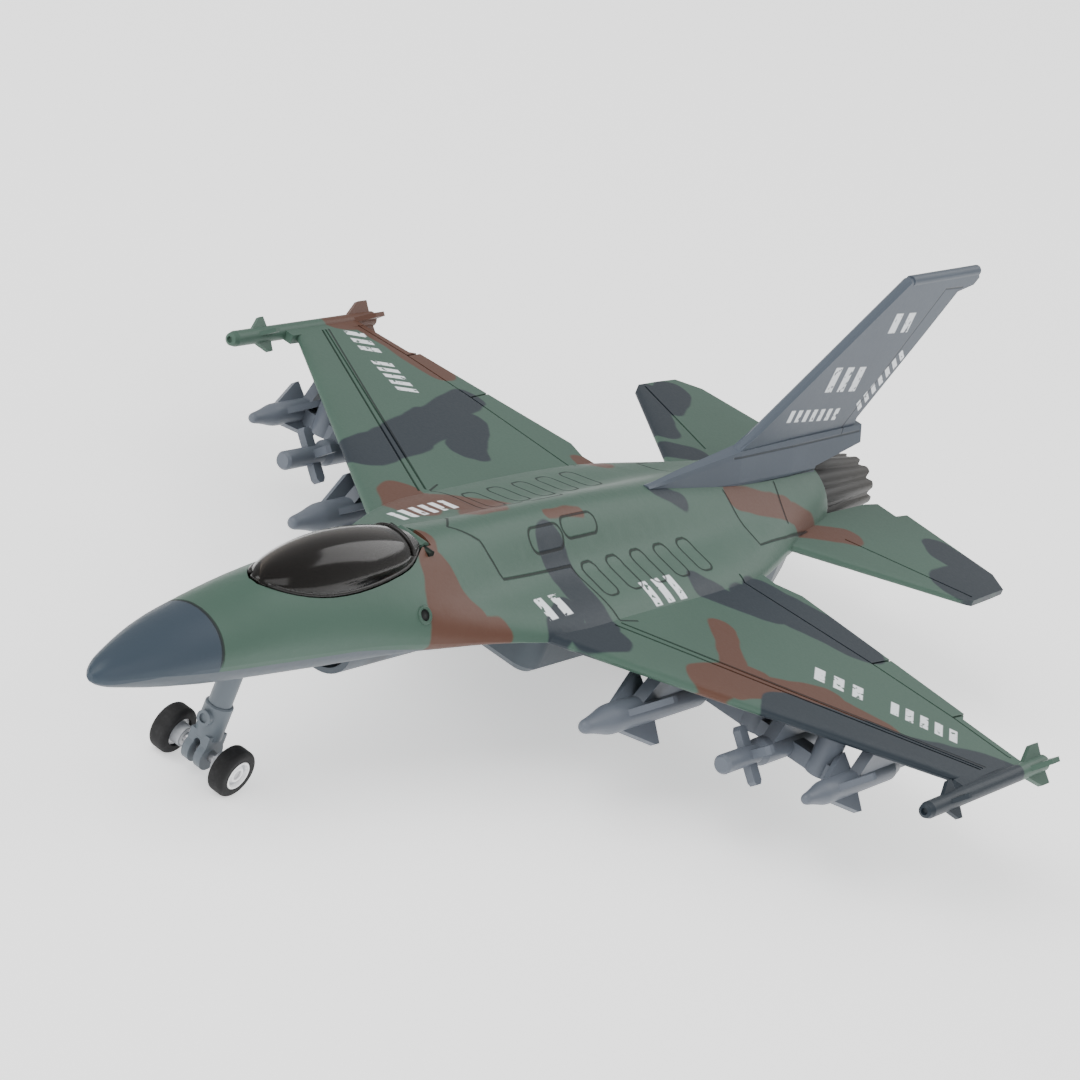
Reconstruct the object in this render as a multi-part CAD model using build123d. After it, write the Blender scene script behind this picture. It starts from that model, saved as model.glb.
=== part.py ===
"""Die-cast toy jet: metal upper casting, plastic underside, opening canopy and a pull-back motor.

Nose towards -Y, port wing towards +X, +Z up. The origin is on the ground under the middle of the model.
"""
import os
from math import atan2, cos, degrees, hypot, pi, radians, sin, sqrt

from build123d import *

# ---- driving dimensions, mm ----
BODY_LENGTH = 211.2        # nose tip to the fin's rear tip
DECK_HEIGHT = 23.0         # ground to the line where the body is widest
HALF_SPAN = 70.0           # centre plane to the wingtip missile's axis
FIN_TOP = 40.2             # fin tip above the deck line
NOMINAL_LENGTH = 211.2     # length at which the station tables below are given
CASTING_WALL = 1.6
SHELL_WALL = 1.4
ROOT_THICKNESS = 2.6       # wing plate at the root
TIP_THICKNESS = 1.5
TAIL_THICKNESS = 1.9
LEG_RADIUS = 1.7
LEG_HEAD_RISE = -1.2       # underside of the leg's head, from the deck line
NOSE_WHEEL_RADIUS = 3.57
NOSE_TYRE_WIDTH = 2.8
NOSE_TRACK = 11.2          # between the middles of the nose tyres
NOSE_AXLE_RADIUS = 0.75
MAIN_WHEEL_RADIUS = 4.6
MAIN_TYRE_WIDTH = 3.8
MAIN_TRACK = 25.0
MAIN_AXLE_RADIUS = 1.0
MOTOR_WIDTH = 14.0
GEAR_MODULE = 0.4
PINION_TEETH = 9
WHEEL_TEETH = 27
BOMB_RADIUS = 2.3
MISSILE_RADIUS = 1.3
SCREW_RADIUS = 1.0
CANOPY_THICKNESS = 1.0

BELLY_HALF_WIDTH = 14.0
BELLY_DEPTH = -9.9         # belly floor, from the deck line
BELLY_CHAMFER = 1.2
BELLY_TAPER_Y = 48.0       # where the belly starts to narrow towards the tail
INTAKE_RADIUS = 5.9
INTAKE_LOW = 13.0          # lowest point of the intake above the ground
INTAKE_FRONT_Y = -53.0
CAVITY_HALF_WIDTH = 11.0
CASE_WALL = 1.0
CASE_DROP = 3.6            # underside of the motor case below the axle
SHAFT_RADIUS = 1.0
GEAR_X = (-5.0, -3.2)
SPRING_X = (-2.4, 5.0)
SPRING_THICKNESS = 0.3
SPRING_TURNS = 4
MOTOR_SCREW_X = 4.0
PEG_LOW = 17.4
SCREW_SINK = 2.4
SCREW_GRIP = 4.0           # hole above the seam for a body screw

# ---- named clearances, mm ----
RUNNING = 0.05             # radial, a shaft turning in its bore
SEAM = 0.15                # around the canopy and the motor case
FREE = 0.3                 # between pieces that move past each other
CANOPY_GAP = 0.4           # around the canopy, which swings out of the casting
GROOVE_WIDTH = 0.34
GROOVE_DEPTH = 0.28

STRETCH = BODY_LENGTH / NOMINAL_LENGTH
SEAM_DROP = -1.7           # seam between casting and lower shell, from the deck line


def along(y):
    """Position along the body for a station given at the nominal length."""
    return y * STRETCH


# Body stations: y, deck line offset, half width, roof rise, spine hump, hump half width,
# belly drop, keel hump, keel half width. Offsets are measured from the deck line.
STATIONS = [
    (-105.6, -1.30, 0.5, 0.5, 0.0, 4.0, 0.5, 0.0, 4.0),
    (-104.6, -1.15, 1.5, 1.4, 0.0, 4.0, 1.3, 0.0, 4.0),
    (-101.0, -0.70, 3.1, 2.7, 0.0, 4.0, 2.5, 0.0, 4.0),
    (-96.0, -0.15, 4.6, 3.9, 0.0, 5.0, 3.7, 0.0, 4.0),
    (-91.0, 0.25, 5.7, 4.8, 0.0, 5.0, 4.6, 0.0, 4.0),
    (-86.9, 0.40, 6.4, 5.4, 0.0, 6.0, 5.1, 0.0, 5.0),
    (-78.0, 0.45, 7.5, 7.2, 0.5, 6.0, 5.6, 0.0, 6.0),
    (-66.0, 0.30, 8.8, 8.4, 0.8, 8.0, 5.8, 0.0, 7.0),
    (-54.0, 0.10, 10.3, 8.1, 1.5, 9.0, 5.4, 0.3, 8.0),
    (-43.0, 0.00, 13.0, 6.6, 3.5, 10.0, 3.8, 2.0, 9.0),
    (-32.0, -0.05, 15.7, 4.9, 5.1, 10.2, 2.4, 3.6, 9.0),
    (-20.0, -0.10, 19.0, 4.2, 5.8, 10.2, 1.6, 4.6, 9.0),
    (-6.0, -0.10, 19.6, 4.2, 5.6, 10.2, 1.4, 5.0, 9.0),
    (8.0, -0.10, 19.6, 4.2, 5.2, 10.2, 1.4, 5.2, 9.0),
    (22.0, -0.10, 19.2, 4.1, 4.6, 10.2, 1.6, 5.4, 9.0),
    (36.0, -0.10, 17.6, 4.3, 3.7, 10.0, 2.2, 5.6, 9.0),
    (48.0, -0.15, 14.4, 5.0, 2.6, 9.0, 4.4, 4.8, 8.5),
    (60.0, -0.50, 11.0, 6.8, 1.0, 8.0, 7.0, 2.2, 8.0),
    (71.0, -0.90, 8.4, 7.9, 0.0, 7.0, 8.2, 0.0, 7.0),
]
SECTION_POINTS = 28

# Planforms of the port half as (x, y), seen from above
WING_SWEEP = (18.6 + 19.3) / (67.6 - 23.8)      # leading edge, dy per dx
WING_LEAD = (23.8, -19.3)
WING_TRAIL_Y = 38.6
WING_STEP = 2.0
FLAP_SPAN = (24.0, 56.5)
TIP_INSET = 2.2
ROOT_X = 14.0
TAIL_OUTLINE = [(11.0, 50.4), (34.6, 73.5), (36.0, 76.2), (35.6, 87.6), (31.6, 90.8), (12.9, 91.4),
                (12.6, 87.9), (8.6, 87.9), (8.0, 84.4), (8.0, 52.0)]

# Side outline of the fin blade as (y, height above the deck line)
FIN_OUTLINE = [(43.0, 10.4), (45.9, 12.3), (80.4, FIN_TOP), (101.6, FIN_TOP), (104.6, FIN_TOP - 0.5),
               (105.6, FIN_TOP - 1.6), (104.6, FIN_TOP - 2.9), (100.2, FIN_TOP - 3.7), (94.0, 28.0),
               (82.7, 13.2), (82.7, 9.0), (43.0, 9.0)]
# Fin fairing stations: y, half width at the foot, half width at the top, top above the deck line
FAIRING = [(21.3, 0.35, 0.3, 8.9), (30.0, 1.5, 0.6, 10.2), (46.0, 2.7, 1.0, 12.3), (62.0, 3.2, 1.15, 12.6),
           (84.8, 3.3, 1.2, 12.6)]
FAIRING_FOOT = 5.0
FIN_OVERHANG = (7.6, 10.8)  # underside of the fin's foot over the nozzle, at the ring and at the nozzle's end
FIN_PEG_Y = (40.0, 62.0)
FIN_PEG_RADIUS = 1.1

# Canopy stations: y, half width, crown above the deck line
CANOPY = [(-76.6, 0.7, 8.8), (-75.2, 2.1, 9.7), (-71.8, 3.8, 11.0), (-67.5, 4.9, 12.0), (-62.0, 5.5, 12.7),
          (-56.0, 5.5, 12.7), (-50.0, 5.0, 12.1), (-46.2, 4.2, 11.4), (-43.6, 2.9, 10.7), (-42.6, 2.4, 10.4)]
CANOPY_FOOT = 5.6
TUB_TOP = 5.3
TUB_FLOOR = 1.6
TUB_WALL = 0.9
TUB_GAP = 1.2
PIVOT_Y = -41.4
PIVOT_RISE = 9.0
PIVOT_RADIUS = 0.6
KNUCKLE_RADIUS = 1.15
KNUCKLE_HALF_WIDTH = 2.4

# Stores: x, nose y, height of the axis above the ground
BOMB_AXIS_Z = 15.3
INNER_BOMB = (28.8, -26.0)
MIDDLE_MISSILE = (44.0, -9.9)
OUTER_BOMB = (55.7, -4.4)
BAR_Y = 9.0
RACK_BOSS_X = (38.0, 50.5)
RACK_BOSS_RADIUS = 2.15
RACK_PEG_RADIUS = 1.2
RACK_SCREW_HEAD = 1.5
RACK_SCREW_SHANK = 0.6

NOSE_LEG_Y = -73.4
MAIN_AXLE_Y = 36.0
GEAR_SLANT = 62.0          # direction from the axle to the winding shaft, degrees above -Y
BODY_SCREW_Y = (-88.5, -32.0, 58.0)
SHELL_RIB_Y = (-66.0, -50.0)
NOZZLE_FRONT_Y = 65.0
RING_Y = 71.0
NOZZLE_END_Y = 92.0
NOZZLE_FRONT_RADIUS = 6.7
NOZZLE_END_RADIUS = 5.0
NOZZLE_FLANGE = 0.7
NOZZLE_RISE = -0.9
PETALS = 12
RIB_RADII = (1.95, 1.4)    # petal rib at its root and at its tip
RIB_SINK = 1.15


# ---- small helpers ----
def deck(rise):
    """Height above the ground of a point given above the deck line."""
    return DECK_HEIGHT + rise


def block(x0, x1, y0, y1, z0, z1):
    """Box between two corners."""
    middle = Pos((x0 + x1) / 2, (y0 + y1) / 2, (z0 + z1) / 2)
    return middle * Box(x1 - x0, y1 - y0, z1 - z0)


def rod_x(radius, x0, x1, y, z):
    """Round rod along X."""
    return Pos((x0 + x1) / 2, y, z) * Rot(0, 90, 0) * Cylinder(radius, x1 - x0)


def rod_y(radius, y0, y1, x, z):
    """Round rod along Y."""
    return Pos(x, (y0 + y1) / 2, z) * Rot(90, 0, 0) * Cylinder(radius, y1 - y0)


def rod_z(radius, z0, z1, x, y):
    """Round rod along Z."""
    return Pos(x, y, (z0 + z1) / 2) * Cylinder(radius, z1 - z0)


def plan_prism(points, z0, z1):
    """Upright prism over an outline given as (x, y)."""
    face = make_face(Polyline(*points, close=True))
    return Pos(0, 0, z0) * extrude(face, z1 - z0)


def side_prism(points, x0, x1):
    """Prism across the model over an outline given as (y, z)."""
    wire = Polyline(*[(x0, y, z) for y, z in points], close=True)
    return extrude(make_face(wire), x1 - x0, dir=(1, 0, 0))


def turned_y(profile, x, z):
    """Solid turned about a line along Y; the profile is (radius, y)."""
    return Pos(x, 0, z) * revolve(make_face(profile), Axis.Y)


def turned_x(points, y, z):
    """Solid turned about a line along X; the profile is (x, radius)."""
    return Pos(0, y, z) * revolve(make_face(Polyline(*points, close=True)), Axis.X)


def mirrored(shape):
    """The same shape on the other side of the centre plane."""
    return mirror(shape, Plane.YZ)


def both_sides(shape):
    """A shape and its mirror image as one group."""
    return shape + mirrored(shape)


def hump(x, height, half_width):
    """Smooth bell used for the spine and the keel."""
    share = 1 - (x / half_width) ** 2
    return height * share * share if share > 0 else 0


# ---- body envelope ----
def body_section(station, inset=0.0, widest=1000.0):
    """Closed section of the body at one station, optionally inset for the inside."""
    y, offset, width, rise, spine, spine_width, drop, keel, keel_width = station
    half = min(width - inset, widest)
    points = []
    for step in range(SECTION_POINTS):
        angle = 2 * pi * step / SECTION_POINTS
        x = half * cos(angle)
        if sin(angle) >= 0:
            z = max(rise - inset, FREE) * sin(angle) + hump(x, spine, spine_width - inset)
        else:
            z = max(drop - inset, FREE) * sin(angle) - hump(x, keel, keel_width - inset)
        points.append((x, along(y), deck(offset) + z))
    return Wire([Edge.make_spline(points, periodic=True)])


def body_envelope():
    """Whole outer body, nose to rear ring."""
    return Solid.make_loft([body_section(station) for station in STATIONS])


def body_cavity(wall, widest, first, last):
    """Space inside the body between two stations, one wall in from the outside."""
    rows = [station for station in STATIONS if first <= station[0] <= last]
    return Solid.make_loft([body_section(station, wall, widest) for station in rows])


def split_line():
    """Side outline of the seam between the casting and the lower shell, as (y, z)."""
    return [(-112.0, -2.9), (-105.8, -2.2), (-96.0, -0.3), (-60.0, -0.3), (-38.0, SEAM_DROP), (112.0, SEAM_DROP)]


def above_split(top=60.0):
    """Everything above the seam."""
    line = [(along(y), deck(rise)) for y, rise in split_line()]
    outline = line + [(along(112.0), deck(top)), (along(-112.0), deck(top))]
    return side_prism(outline, -HALF_SPAN * 2, HALF_SPAN * 2)


# ---- wings, tail surfaces and tip missiles ----
def wing_lead_y(x):
    """Leading edge of the wing at a distance from the centre plane."""
    return along(WING_LEAD[1]) + WING_SWEEP * (x - WING_LEAD[0])


def wing_middle_z(x):
    """Height of the wing plate's middle plane."""
    share = (x - ROOT_X) / (HALF_SPAN - ROOT_X)
    return deck(0.15 - 2.35 * share)


def wing_thickness(x):
    """Thickness of the wing plate."""
    share = (x - ROOT_X) / (HALF_SPAN - ROOT_X)
    return ROOT_THICKNESS + (TIP_THICKNESS - ROOT_THICKNESS) * share


def plate_section(x, lead, trail, middle, thickness):
    """Section of a wing-like plate: round nose, full middle and a thin trailing edge."""
    chord = trail - lead
    shares = [(0.0, 0.0), (0.008, 0.22), (0.03, 0.36), (0.12, 0.46), (0.35, 0.5), (0.7, 0.42), (1.0, 0.26)]
    upper = [(x, lead + chord * s, middle + thickness * h) for s, h in shares]
    lower = [(x, lead + chord * s, middle - thickness * h) for s, h in shares]
    top = Edge.make_spline(upper)
    back = Edge.make_line(upper[-1], lower[-1])
    bottom = Edge.make_spline(list(reversed(lower)))
    return Wire([top, back, bottom])


def wing():
    """Port wing plate, cut to its planform."""
    trail = along(WING_TRAIL_Y)
    rows = []
    for x in (ROOT_X, HALF_SPAN - TIP_INSET + 1.0):
        rows.append(plate_section(x, wing_lead_y(x), trail, wing_middle_z(x), wing_thickness(x)))
    plate = Solid.make_loft(rows, ruled=True)
    tip = HALF_SPAN - TIP_INSET
    lead = [(ROOT_X - 1, wing_lead_y(ROOT_X) - 5), (tip, wing_lead_y(tip) - 5)]
    trailing = [(tip + 0.9, trail - WING_STEP), (FLAP_SPAN[1] + 1, trail - WING_STEP), (FLAP_SPAN[1], trail),
                (FLAP_SPAN[0], trail), (FLAP_SPAN[0] - 4, trail - WING_STEP - 0.4),
                (ROOT_X - 1, trail - WING_STEP - 0.4)]
    outline = [lead[0], lead[1], (tip + 0.9, wing_lead_y(tip) + 1)] + trailing
    return plate & plan_prism(outline, 0, deck(10))


def tailplane():
    """Port tailplane with the shelf that carries it."""
    points = [(x, along(y)) for x, y in TAIL_OUTLINE]
    rows = []
    for x, lead, thickness in ((8.0, 47.5, TAIL_THICKNESS), (36.2, 75.1, TAIL_THICKNESS * 0.62)):
        rows.append(plate_section(x, along(lead), along(92.0), deck(0.2 - 0.02 * (x - 8)), thickness))
    plate = Solid.make_loft(rows, ruled=True)
    return plate & plan_prism(points, 0, deck(10))


def fin_plate(outline, thickness, turn, x, z):
    """One flat fin of a store: outline as (distance from the axis, y), turned about the store's axis."""
    face = make_face(Polyline(*outline, close=True))
    plate = Pos(0, 0, -thickness / 2) * extrude(face, thickness)
    return Pos(x, 0, z) * Rot(0, turn, 0) * plate


def cross_fins(outline, thickness, x, z):
    """Four fins in an X about a store's axis."""
    fins = [fin_plate(outline, thickness, 45 + 90 * quarter, x, z) for quarter in range(4)]
    return fins[0] + fins[1] + fins[2] + fins[3]


def tip_missile():
    """Port wingtip missile with its canards, tail fins and rail."""
    nose = along(3.9)
    tail = along(42.4)
    z = wing_middle_z(HALF_SPAN) - 0.1
    radius = MISSILE_RADIUS
    profile = Polyline((0, nose + 0.5), (0.4, nose + 0.5), (0.55, nose), (radius * 0.8, nose + 0.25),
                       (radius, nose + 1.2), (radius, tail - 0.4), (radius - 0.4, tail), (0, tail), close=True)
    body = turned_y(profile, HALF_SPAN, z)
    canards = cross_fins([(0, nose + 6.2), (1.2, nose + 6.2), (2.9, nose + 8.6), (2.9, nose + 9.6),
                          (0, nose + 10.0)], 0.7, HALF_SPAN, z)
    fins = cross_fins([(0, tail - 6.6), (1.2, tail - 6.6), (3.2, tail - 3.0), (3.2, tail - 0.6),
                       (0, tail - 0.9)], 0.8, HALF_SPAN, z)
    rail = block(HALF_SPAN - TIP_INSET - 0.5, HALF_SPAN - 0.3, along(17.0), along(36.2), z - 0.75, z + 0.85)
    return body + canards + fins + rail


# ---- stores racks under the wings ----
def ogive(radius, nose, nose_length, tail, x, z):
    """Round store with a pointed, rounded nose and a tapered tail."""
    bow = Spline((0, nose), (radius * 0.52, nose + nose_length * 0.16), (radius * 0.86, nose + nose_length * 0.52),
                 (radius, nose + nose_length), tangents=[(1, 0), (0, 1)])
    rest = Polyline((radius, nose + nose_length), (radius, tail - radius * 1.4), (radius * 0.62, tail), (0, tail),
                    (0, nose))
    return turned_y(Curve() + [bow, rest], x, z)


def bomb(x, nose, scale):
    """Finned bomb under a pylon."""
    radius = BOMB_RADIUS * scale
    body = ogive(radius, nose, 10.5 * scale, nose + 34 * scale, x, BOMB_AXIS_Z)
    start = nose + 8.8 * scale
    fins = cross_fins([(0, start), (radius * 0.9, start), (radius * 2.45, start + 7.6 * scale),
                       (radius * 2.45, start + 8.6 * scale), (0, start + 9.4 * scale)], 1.0, x, BOMB_AXIS_Z)
    return body + fins


def paddle_missile(x, nose):
    """Slim missile with a flat round front, rounded paddle fins and a stouter body behind."""
    profile = Polyline((0, nose), (1.15, nose), (1.5, nose + 0.5), (1.5, nose + 9.4), (2.1, nose + 10.6),
                       (2.1, nose + 30.0), (1.4, nose + 31.0), (0, nose + 31.0), close=True)
    body = turned_y(profile, x, BOMB_AXIS_Z - 0.2)
    fins = cross_fins([(0, nose + 6.4), (3.9, nose + 6.4), (4.5, nose + 6.9), (4.5, nose + 7.9),
                       (3.9, nose + 8.4), (0, nose + 8.4)], 1.3, x, BOMB_AXIS_Z - 0.2)
    return body + fins


def pylon(x, front_low, front_high, back, width):
    """Pylon plate with a slanted front edge, from a store up to the wing."""
    outline = [(front_low, BOMB_AXIS_Z), (front_high, deck(1.0)), (back, deck(1.0)), (back - 2, BOMB_AXIS_Z)]
    return side_prism(outline, x - width / 2, x + width / 2)


def stores_rack(casting):
    """Port moulding that carries three stores, pegged up into the wing."""
    inner_x, inner_nose = INNER_BOMB
    middle_x, middle_nose = MIDDLE_MISSILE
    outer_x, outer_nose = OUTER_BOMB
    inner_nose, middle_nose, outer_nose = along(inner_nose), along(middle_nose), along(outer_nose)
    bar_y = along(BAR_Y)
    rack = bomb(inner_x, inner_nose, 1.0)
    rack += pylon(inner_x, inner_nose + 12, inner_nose + 19, inner_nose + 46, 2.0)
    rack += paddle_missile(middle_x, middle_nose)
    rack += pylon(middle_x, middle_nose + 11.5, middle_nose + 14.5, middle_nose + 36, 2.0)
    rack += bomb(outer_x, outer_nose, 0.8)
    rack += pylon(outer_x, outer_nose + 13, outer_nose + 17, outer_nose + 32, 1.8)
    rack += block(inner_x, outer_x, bar_y - 1.6, bar_y + 1.6, BOMB_AXIS_Z - 1.4, BOMB_AXIS_Z + 1.2)
    for x in RACK_BOSS_X:
        rack += rod_z(RACK_BOSS_RADIUS, BOMB_AXIS_Z - 1.4, deck(1.0), x, bar_y)
    rack = rack - casting
    for x in RACK_BOSS_X:
        rack -= rod_z(RACK_SCREW_HEAD + SEAM, 0, BOMB_AXIS_Z - 0.2, x, bar_y)
        rack -= rod_z(RACK_SCREW_SHANK, 0, deck(0), x, bar_y)
    return largest(rack)


def largest(shape):
    """The biggest solid of a result, without trimmed-off slivers."""
    return sorted(shape.solids(), key=lambda solid: solid.volume)[-1]


# ---- canopy and cockpit ----
def roof_height(x, y):
    """Height of the body's roof above the deck line, between the stations either side."""
    for before, after in zip(STATIONS, STATIONS[1:]):
        if before[0] <= y <= after[0]:
            share = (y - before[0]) / (after[0] - before[0])
            row = [a + (b - a) * share for a, b in zip(before, after)]
            offset, half, rise, spine, spine_width = row[1:6]
            return offset + rise * sqrt(max(0.0, 1 - (x / half) ** 2)) + hump(x, spine, spine_width)
    raise ValueError("no roof at this station")


def canopy_dome(inset):
    """Solid of the canopy, inset by its thickness for the inside: upright skirt, then a dome."""
    rows = []
    for y, half, crown in CANOPY:
        width = max(half - inset, 0.2)
        top = crown - inset
        sill = min(roof_height(half, y), top - FREE)
        foot = CANOPY_FOOT - inset
        arch = [(width * cos(pi * k / 12), along(y), deck(sill) + (top - sill) * sin(pi * k / 12))
                for k in range(13)]
        low_left, low_right = (-width, along(y), deck(foot)), (width, along(y), deck(foot))
        edges = [Edge.make_line(low_right, arch[0]), Edge.make_spline(arch), Edge.make_line(arch[-1], low_left),
                 Edge.make_line(low_left, low_right)]
        rows.append(Wire(edges))
    return Solid.make_loft(rows)


def canopy():
    """Clear canopy with its knuckle, hinged at the back."""
    shell = canopy_dome(0.0) - canopy_dome(CANOPY_THICKNESS)
    y, z = along(PIVOT_Y), deck(PIVOT_RISE)
    back = along(CANOPY[-1][0])
    arm = block(-KNUCKLE_HALF_WIDTH, KNUCKLE_HALF_WIDTH, back - 1.6, y, z - 0.7, z + 0.8)
    knuckle = rod_x(KNUCKLE_RADIUS, -KNUCKLE_HALF_WIDTH, KNUCKLE_HALF_WIDTH, y, z)
    bore = rod_x(PIVOT_RADIUS + RUNNING, -HALF_SPAN, HALF_SPAN, y, z)
    return largest(shell + ((arm + knuckle) - canopy_dome(CANOPY_THICKNESS)) - bore)


def canopy_pin():
    """Steel pin through the canopy's knuckle, pressed into the casting."""
    half = KNUCKLE_HALF_WIDTH + 1.6
    return rod_x(PIVOT_RADIUS, -half, half, along(PIVOT_Y), deck(PIVOT_RISE))


def inset_outline(inset, first, last):
    """Canopy plan outline, inset and clipped to a stretch of the body."""
    rows = [(max(half - inset, 0.2), along(y)) for y, half, crown in CANOPY if first < y < last]
    return rows + [(-x, y) for x, y in reversed(rows)]


def cockpit_tub():
    """Cockpit floor and walls that follow the canopy's outline, with a coaming and side consoles."""
    outer = plan_prism(inset_outline(TUB_GAP, -77.5, -44.0), deck(TUB_FLOOR - TUB_WALL), deck(TUB_TOP))
    inner = plan_prism(inset_outline(TUB_GAP + TUB_WALL, -75.0, -46.5), deck(TUB_FLOOR), deck(20))
    front = along(-74.0)
    coaming = side_prism([(front, deck(TUB_FLOOR)), (front, deck(TUB_TOP + 0.6)), (front + 3.0, deck(TUB_TOP + 1.8)),
                          (front + 6.6, deck(TUB_TOP + 1.4)), (front + 6.6, deck(TUB_TOP - 0.4)),
                          (front + 5.2, deck(TUB_FLOOR))], -2.6, 2.6)
    consoles = both_sides(block(2.6, 6.0, along(-67.0), along(-51.0), deck(TUB_FLOOR), deck(TUB_TOP - 1.0)))
    return largest(outer - inner + [(coaming + consoles) & outer_fill()])


def outer_fill():
    """Plan of the tub, used to trim what stands in it."""
    return plan_prism(inset_outline(TUB_GAP, -77.5, -44.0), deck(TUB_FLOOR - TUB_WALL), deck(20))


def ejection_seat():
    """Seat that slots onto the tub's floor between the consoles."""
    y = along(-55.0)
    base = block(-2.3, 2.3, y - 5.5, y + 1.0, deck(TUB_FLOOR), deck(TUB_FLOOR + 2.2))
    back = side_prism([(y - 1.0, deck(TUB_FLOOR)), (y - 0.6, deck(TUB_FLOOR + 4)), (y + 0.4, deck(9.2)),
                       (y + 1.6, deck(9.7)), (y + 2.8, deck(9.2)), (y + 2.2, deck(TUB_FLOOR))], -2.1, 2.1)
    head = block(-1.5, 1.5, y - 0.2, y + 1.4, deck(7.6), deck(9.6))
    return base + back + head


# ---- fin ----
def fin_fairing():
    """Tapered base of the fin, standing on the spine."""
    rows = []
    for y, foot, top, rise in FAIRING:
        shoulder = rise - 0.8 if rise > 9 else rise - 0.2
        half = [(foot, FAIRING_FOOT), (foot, 7.4), (top + 0.35, shoulder), (top, rise)]
        points = [(x, along(y), deck(z)) for x, z in half] + [(-x, along(y), deck(z)) for x, z in reversed(half)]
        rows.append(Wire.make_polygon(points, close=True))
    return Solid.make_loft(rows, ruled=True)


def tail_fin(body):
    """Fin blade, fairing and the two pegs that go down into the casting."""
    blade_points = [(along(y), deck(z)) for y, z in FIN_OUTLINE]
    blade = side_prism(blade_points, -0.85, 0.85)
    lead = [edge for edge in blade.edges() if abs(edge.center().X) > 0.8 and edge.length > 5]
    blade = chamfer(lead, 0.45)
    cap = rod_y(0.95, along(81.5), along(105.0), 0, deck(FIN_TOP - 0.6))
    start, end = along(RING_Y) - 1, along(NOZZLE_END_Y)
    nozzle_space = side_prism([(start, 0), (start, deck(FIN_OVERHANG[0])), (end, deck(FIN_OVERHANG[1])), (end, 0)],
                              -HALF_SPAN, HALF_SPAN)
    fin = fin_fairing() + blade + cap
    fin = largest(fin - [body, nozzle_space])
    for y in FIN_PEG_Y:
        fin += rod_z(FIN_PEG_RADIUS, deck(3.0), deck(9.0), 0, along(y))
    return fin


# ---- exhaust nozzle ----
def nozzle():
    """Ribbed exhaust nozzle with pointed petals and the flange that stops it pulling out."""
    front, ring, end = along(NOZZLE_FRONT_Y), along(RING_Y), along(NOZZLE_END_Y)
    z = deck(NOZZLE_RISE)
    r0, r1 = NOZZLE_FRONT_RADIUS, NOZZLE_END_RADIUS
    profile = Polyline((0, front), (r0, front), (r0, ring + 1.0), (r1, end), (0, end), close=True)
    solid = turned_y(profile, 0, z)
    slope = degrees(atan2(r0 - r1, end - ring))
    rib_start = 0.6
    ribs = [rod_y(r0 + NOZZLE_FLANGE, front, front + 1.2, 0, z)]
    rib = Cone(RIB_RADII[0], RIB_RADII[1], end - ring - rib_start)
    rib = Pos(0, (ring + rib_start + end) / 2, (r0 + r1) / 2 - RIB_SINK) * Rot(-90 - slope, 0, 0) * rib
    notch = make_face(Polyline((-1.7, end + 2.0), (0, end - 1.6), (1.7, end + 2.0), close=True))
    notch = Pos(0, 0, r1 - 3) * extrude(notch, 6)
    inside = turned_y(Polyline((0, front + 1.4), (r0 - 1.5, front + 1.4), (r1 - 1.1, end + 1), (0, end + 1),
                               close=True), 0, z)
    cuts = [inside]
    for petal in range(PETALS):
        turn = 360.0 / PETALS
        ribs.append(Pos(0, 0, z) * Rot(0, turn * petal, 0) * rib)
        cuts.append(Pos(0, 0, z) * Rot(0, turn * (petal + 0.5), 0) * notch)
    return largest(solid + ribs - cuts)


# ---- wheels ----
def tyre(radius, width, rim, x, y):
    """Rubber tyre with rounded shoulders, standing on the ground."""
    ring = Cylinder(radius, width)
    ring = fillet(ring.edges().filter_by(GeomType.CIRCLE), width * 0.24)
    ring -= Cylinder(rim, width * 2)
    return Pos(x, y, radius) * Rot(0, 90, 0) * ring


def hub(radius, width, rim, axle, boss, x, y, side):
    """Plastic wheel centre: recessed face outside and a stepped boss inside."""
    face = width / 2
    points = [(-face - boss, axle), (-face - boss, rim * 0.72), (-face + 0.5, rim * 0.72), (-face + 0.5, rim),
              (face - 0.15, rim), (face, rim - 0.12), (face, rim - 0.38), (face - 0.5, rim - 0.5),
              (face - 0.5, rim * 0.56), (face - 0.2, rim * 0.5), (face - 0.2, axle)]
    solid = turned_x(points, 0, 0)
    if side < 0:
        solid = mirrored(solid)
    return Pos(side * x, y, radius) * solid


def rim_radius(radius):
    """Radius at which a hub meets its tyre."""
    return radius * 0.62


# ---- nose leg ----
def nose_leg():
    """Fixed twin-wheel leg: round bar, sleeve, forked foot, and a head that rests on the socket."""
    y = along(NOSE_LEG_Y)
    axle = NOSE_WHEEL_RADIUS
    bar = rod_z(LEG_RADIUS, axle + 3.5, deck(LEG_HEAD_RISE), 0, y)
    head = rod_z(LEG_RADIUS + 1.0, deck(LEG_HEAD_RISE), deck(LEG_HEAD_RISE + 1.3), 0, y)
    sleeve = rod_z(LEG_RADIUS + 0.35, axle + 2.2, axle + 7.6, 0, y)
    sleeve = chamfer(sleeve.edges().filter_by(GeomType.CIRCLE), 0.2)
    foot = rod_x(2.35, -1.75, 1.75, y, axle)
    web = block(-1.75, 1.75, y - 1.9, y + 1.9, axle, axle + 3.2)
    boss = rod_y(1.15, y - LEG_RADIUS - 0.95, y, 0, axle + 5.6)
    dimple = rod_y(0.7, y - LEG_RADIUS - 1.2, y - LEG_RADIUS - 0.6, 0, axle + 5.6)
    slot = block(-0.55, 0.55, y - 4, y + 4, axle - 4, axle + 1.6) + rod_y(0.55, y - 4, y + 4, 0, axle + 1.6)
    leg = bar + head + sleeve + foot + web + boss
    leg -= slot + dimple + rod_x(NOSE_AXLE_RADIUS + RUNNING, -9, 9, y, axle)
    return leg


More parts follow.
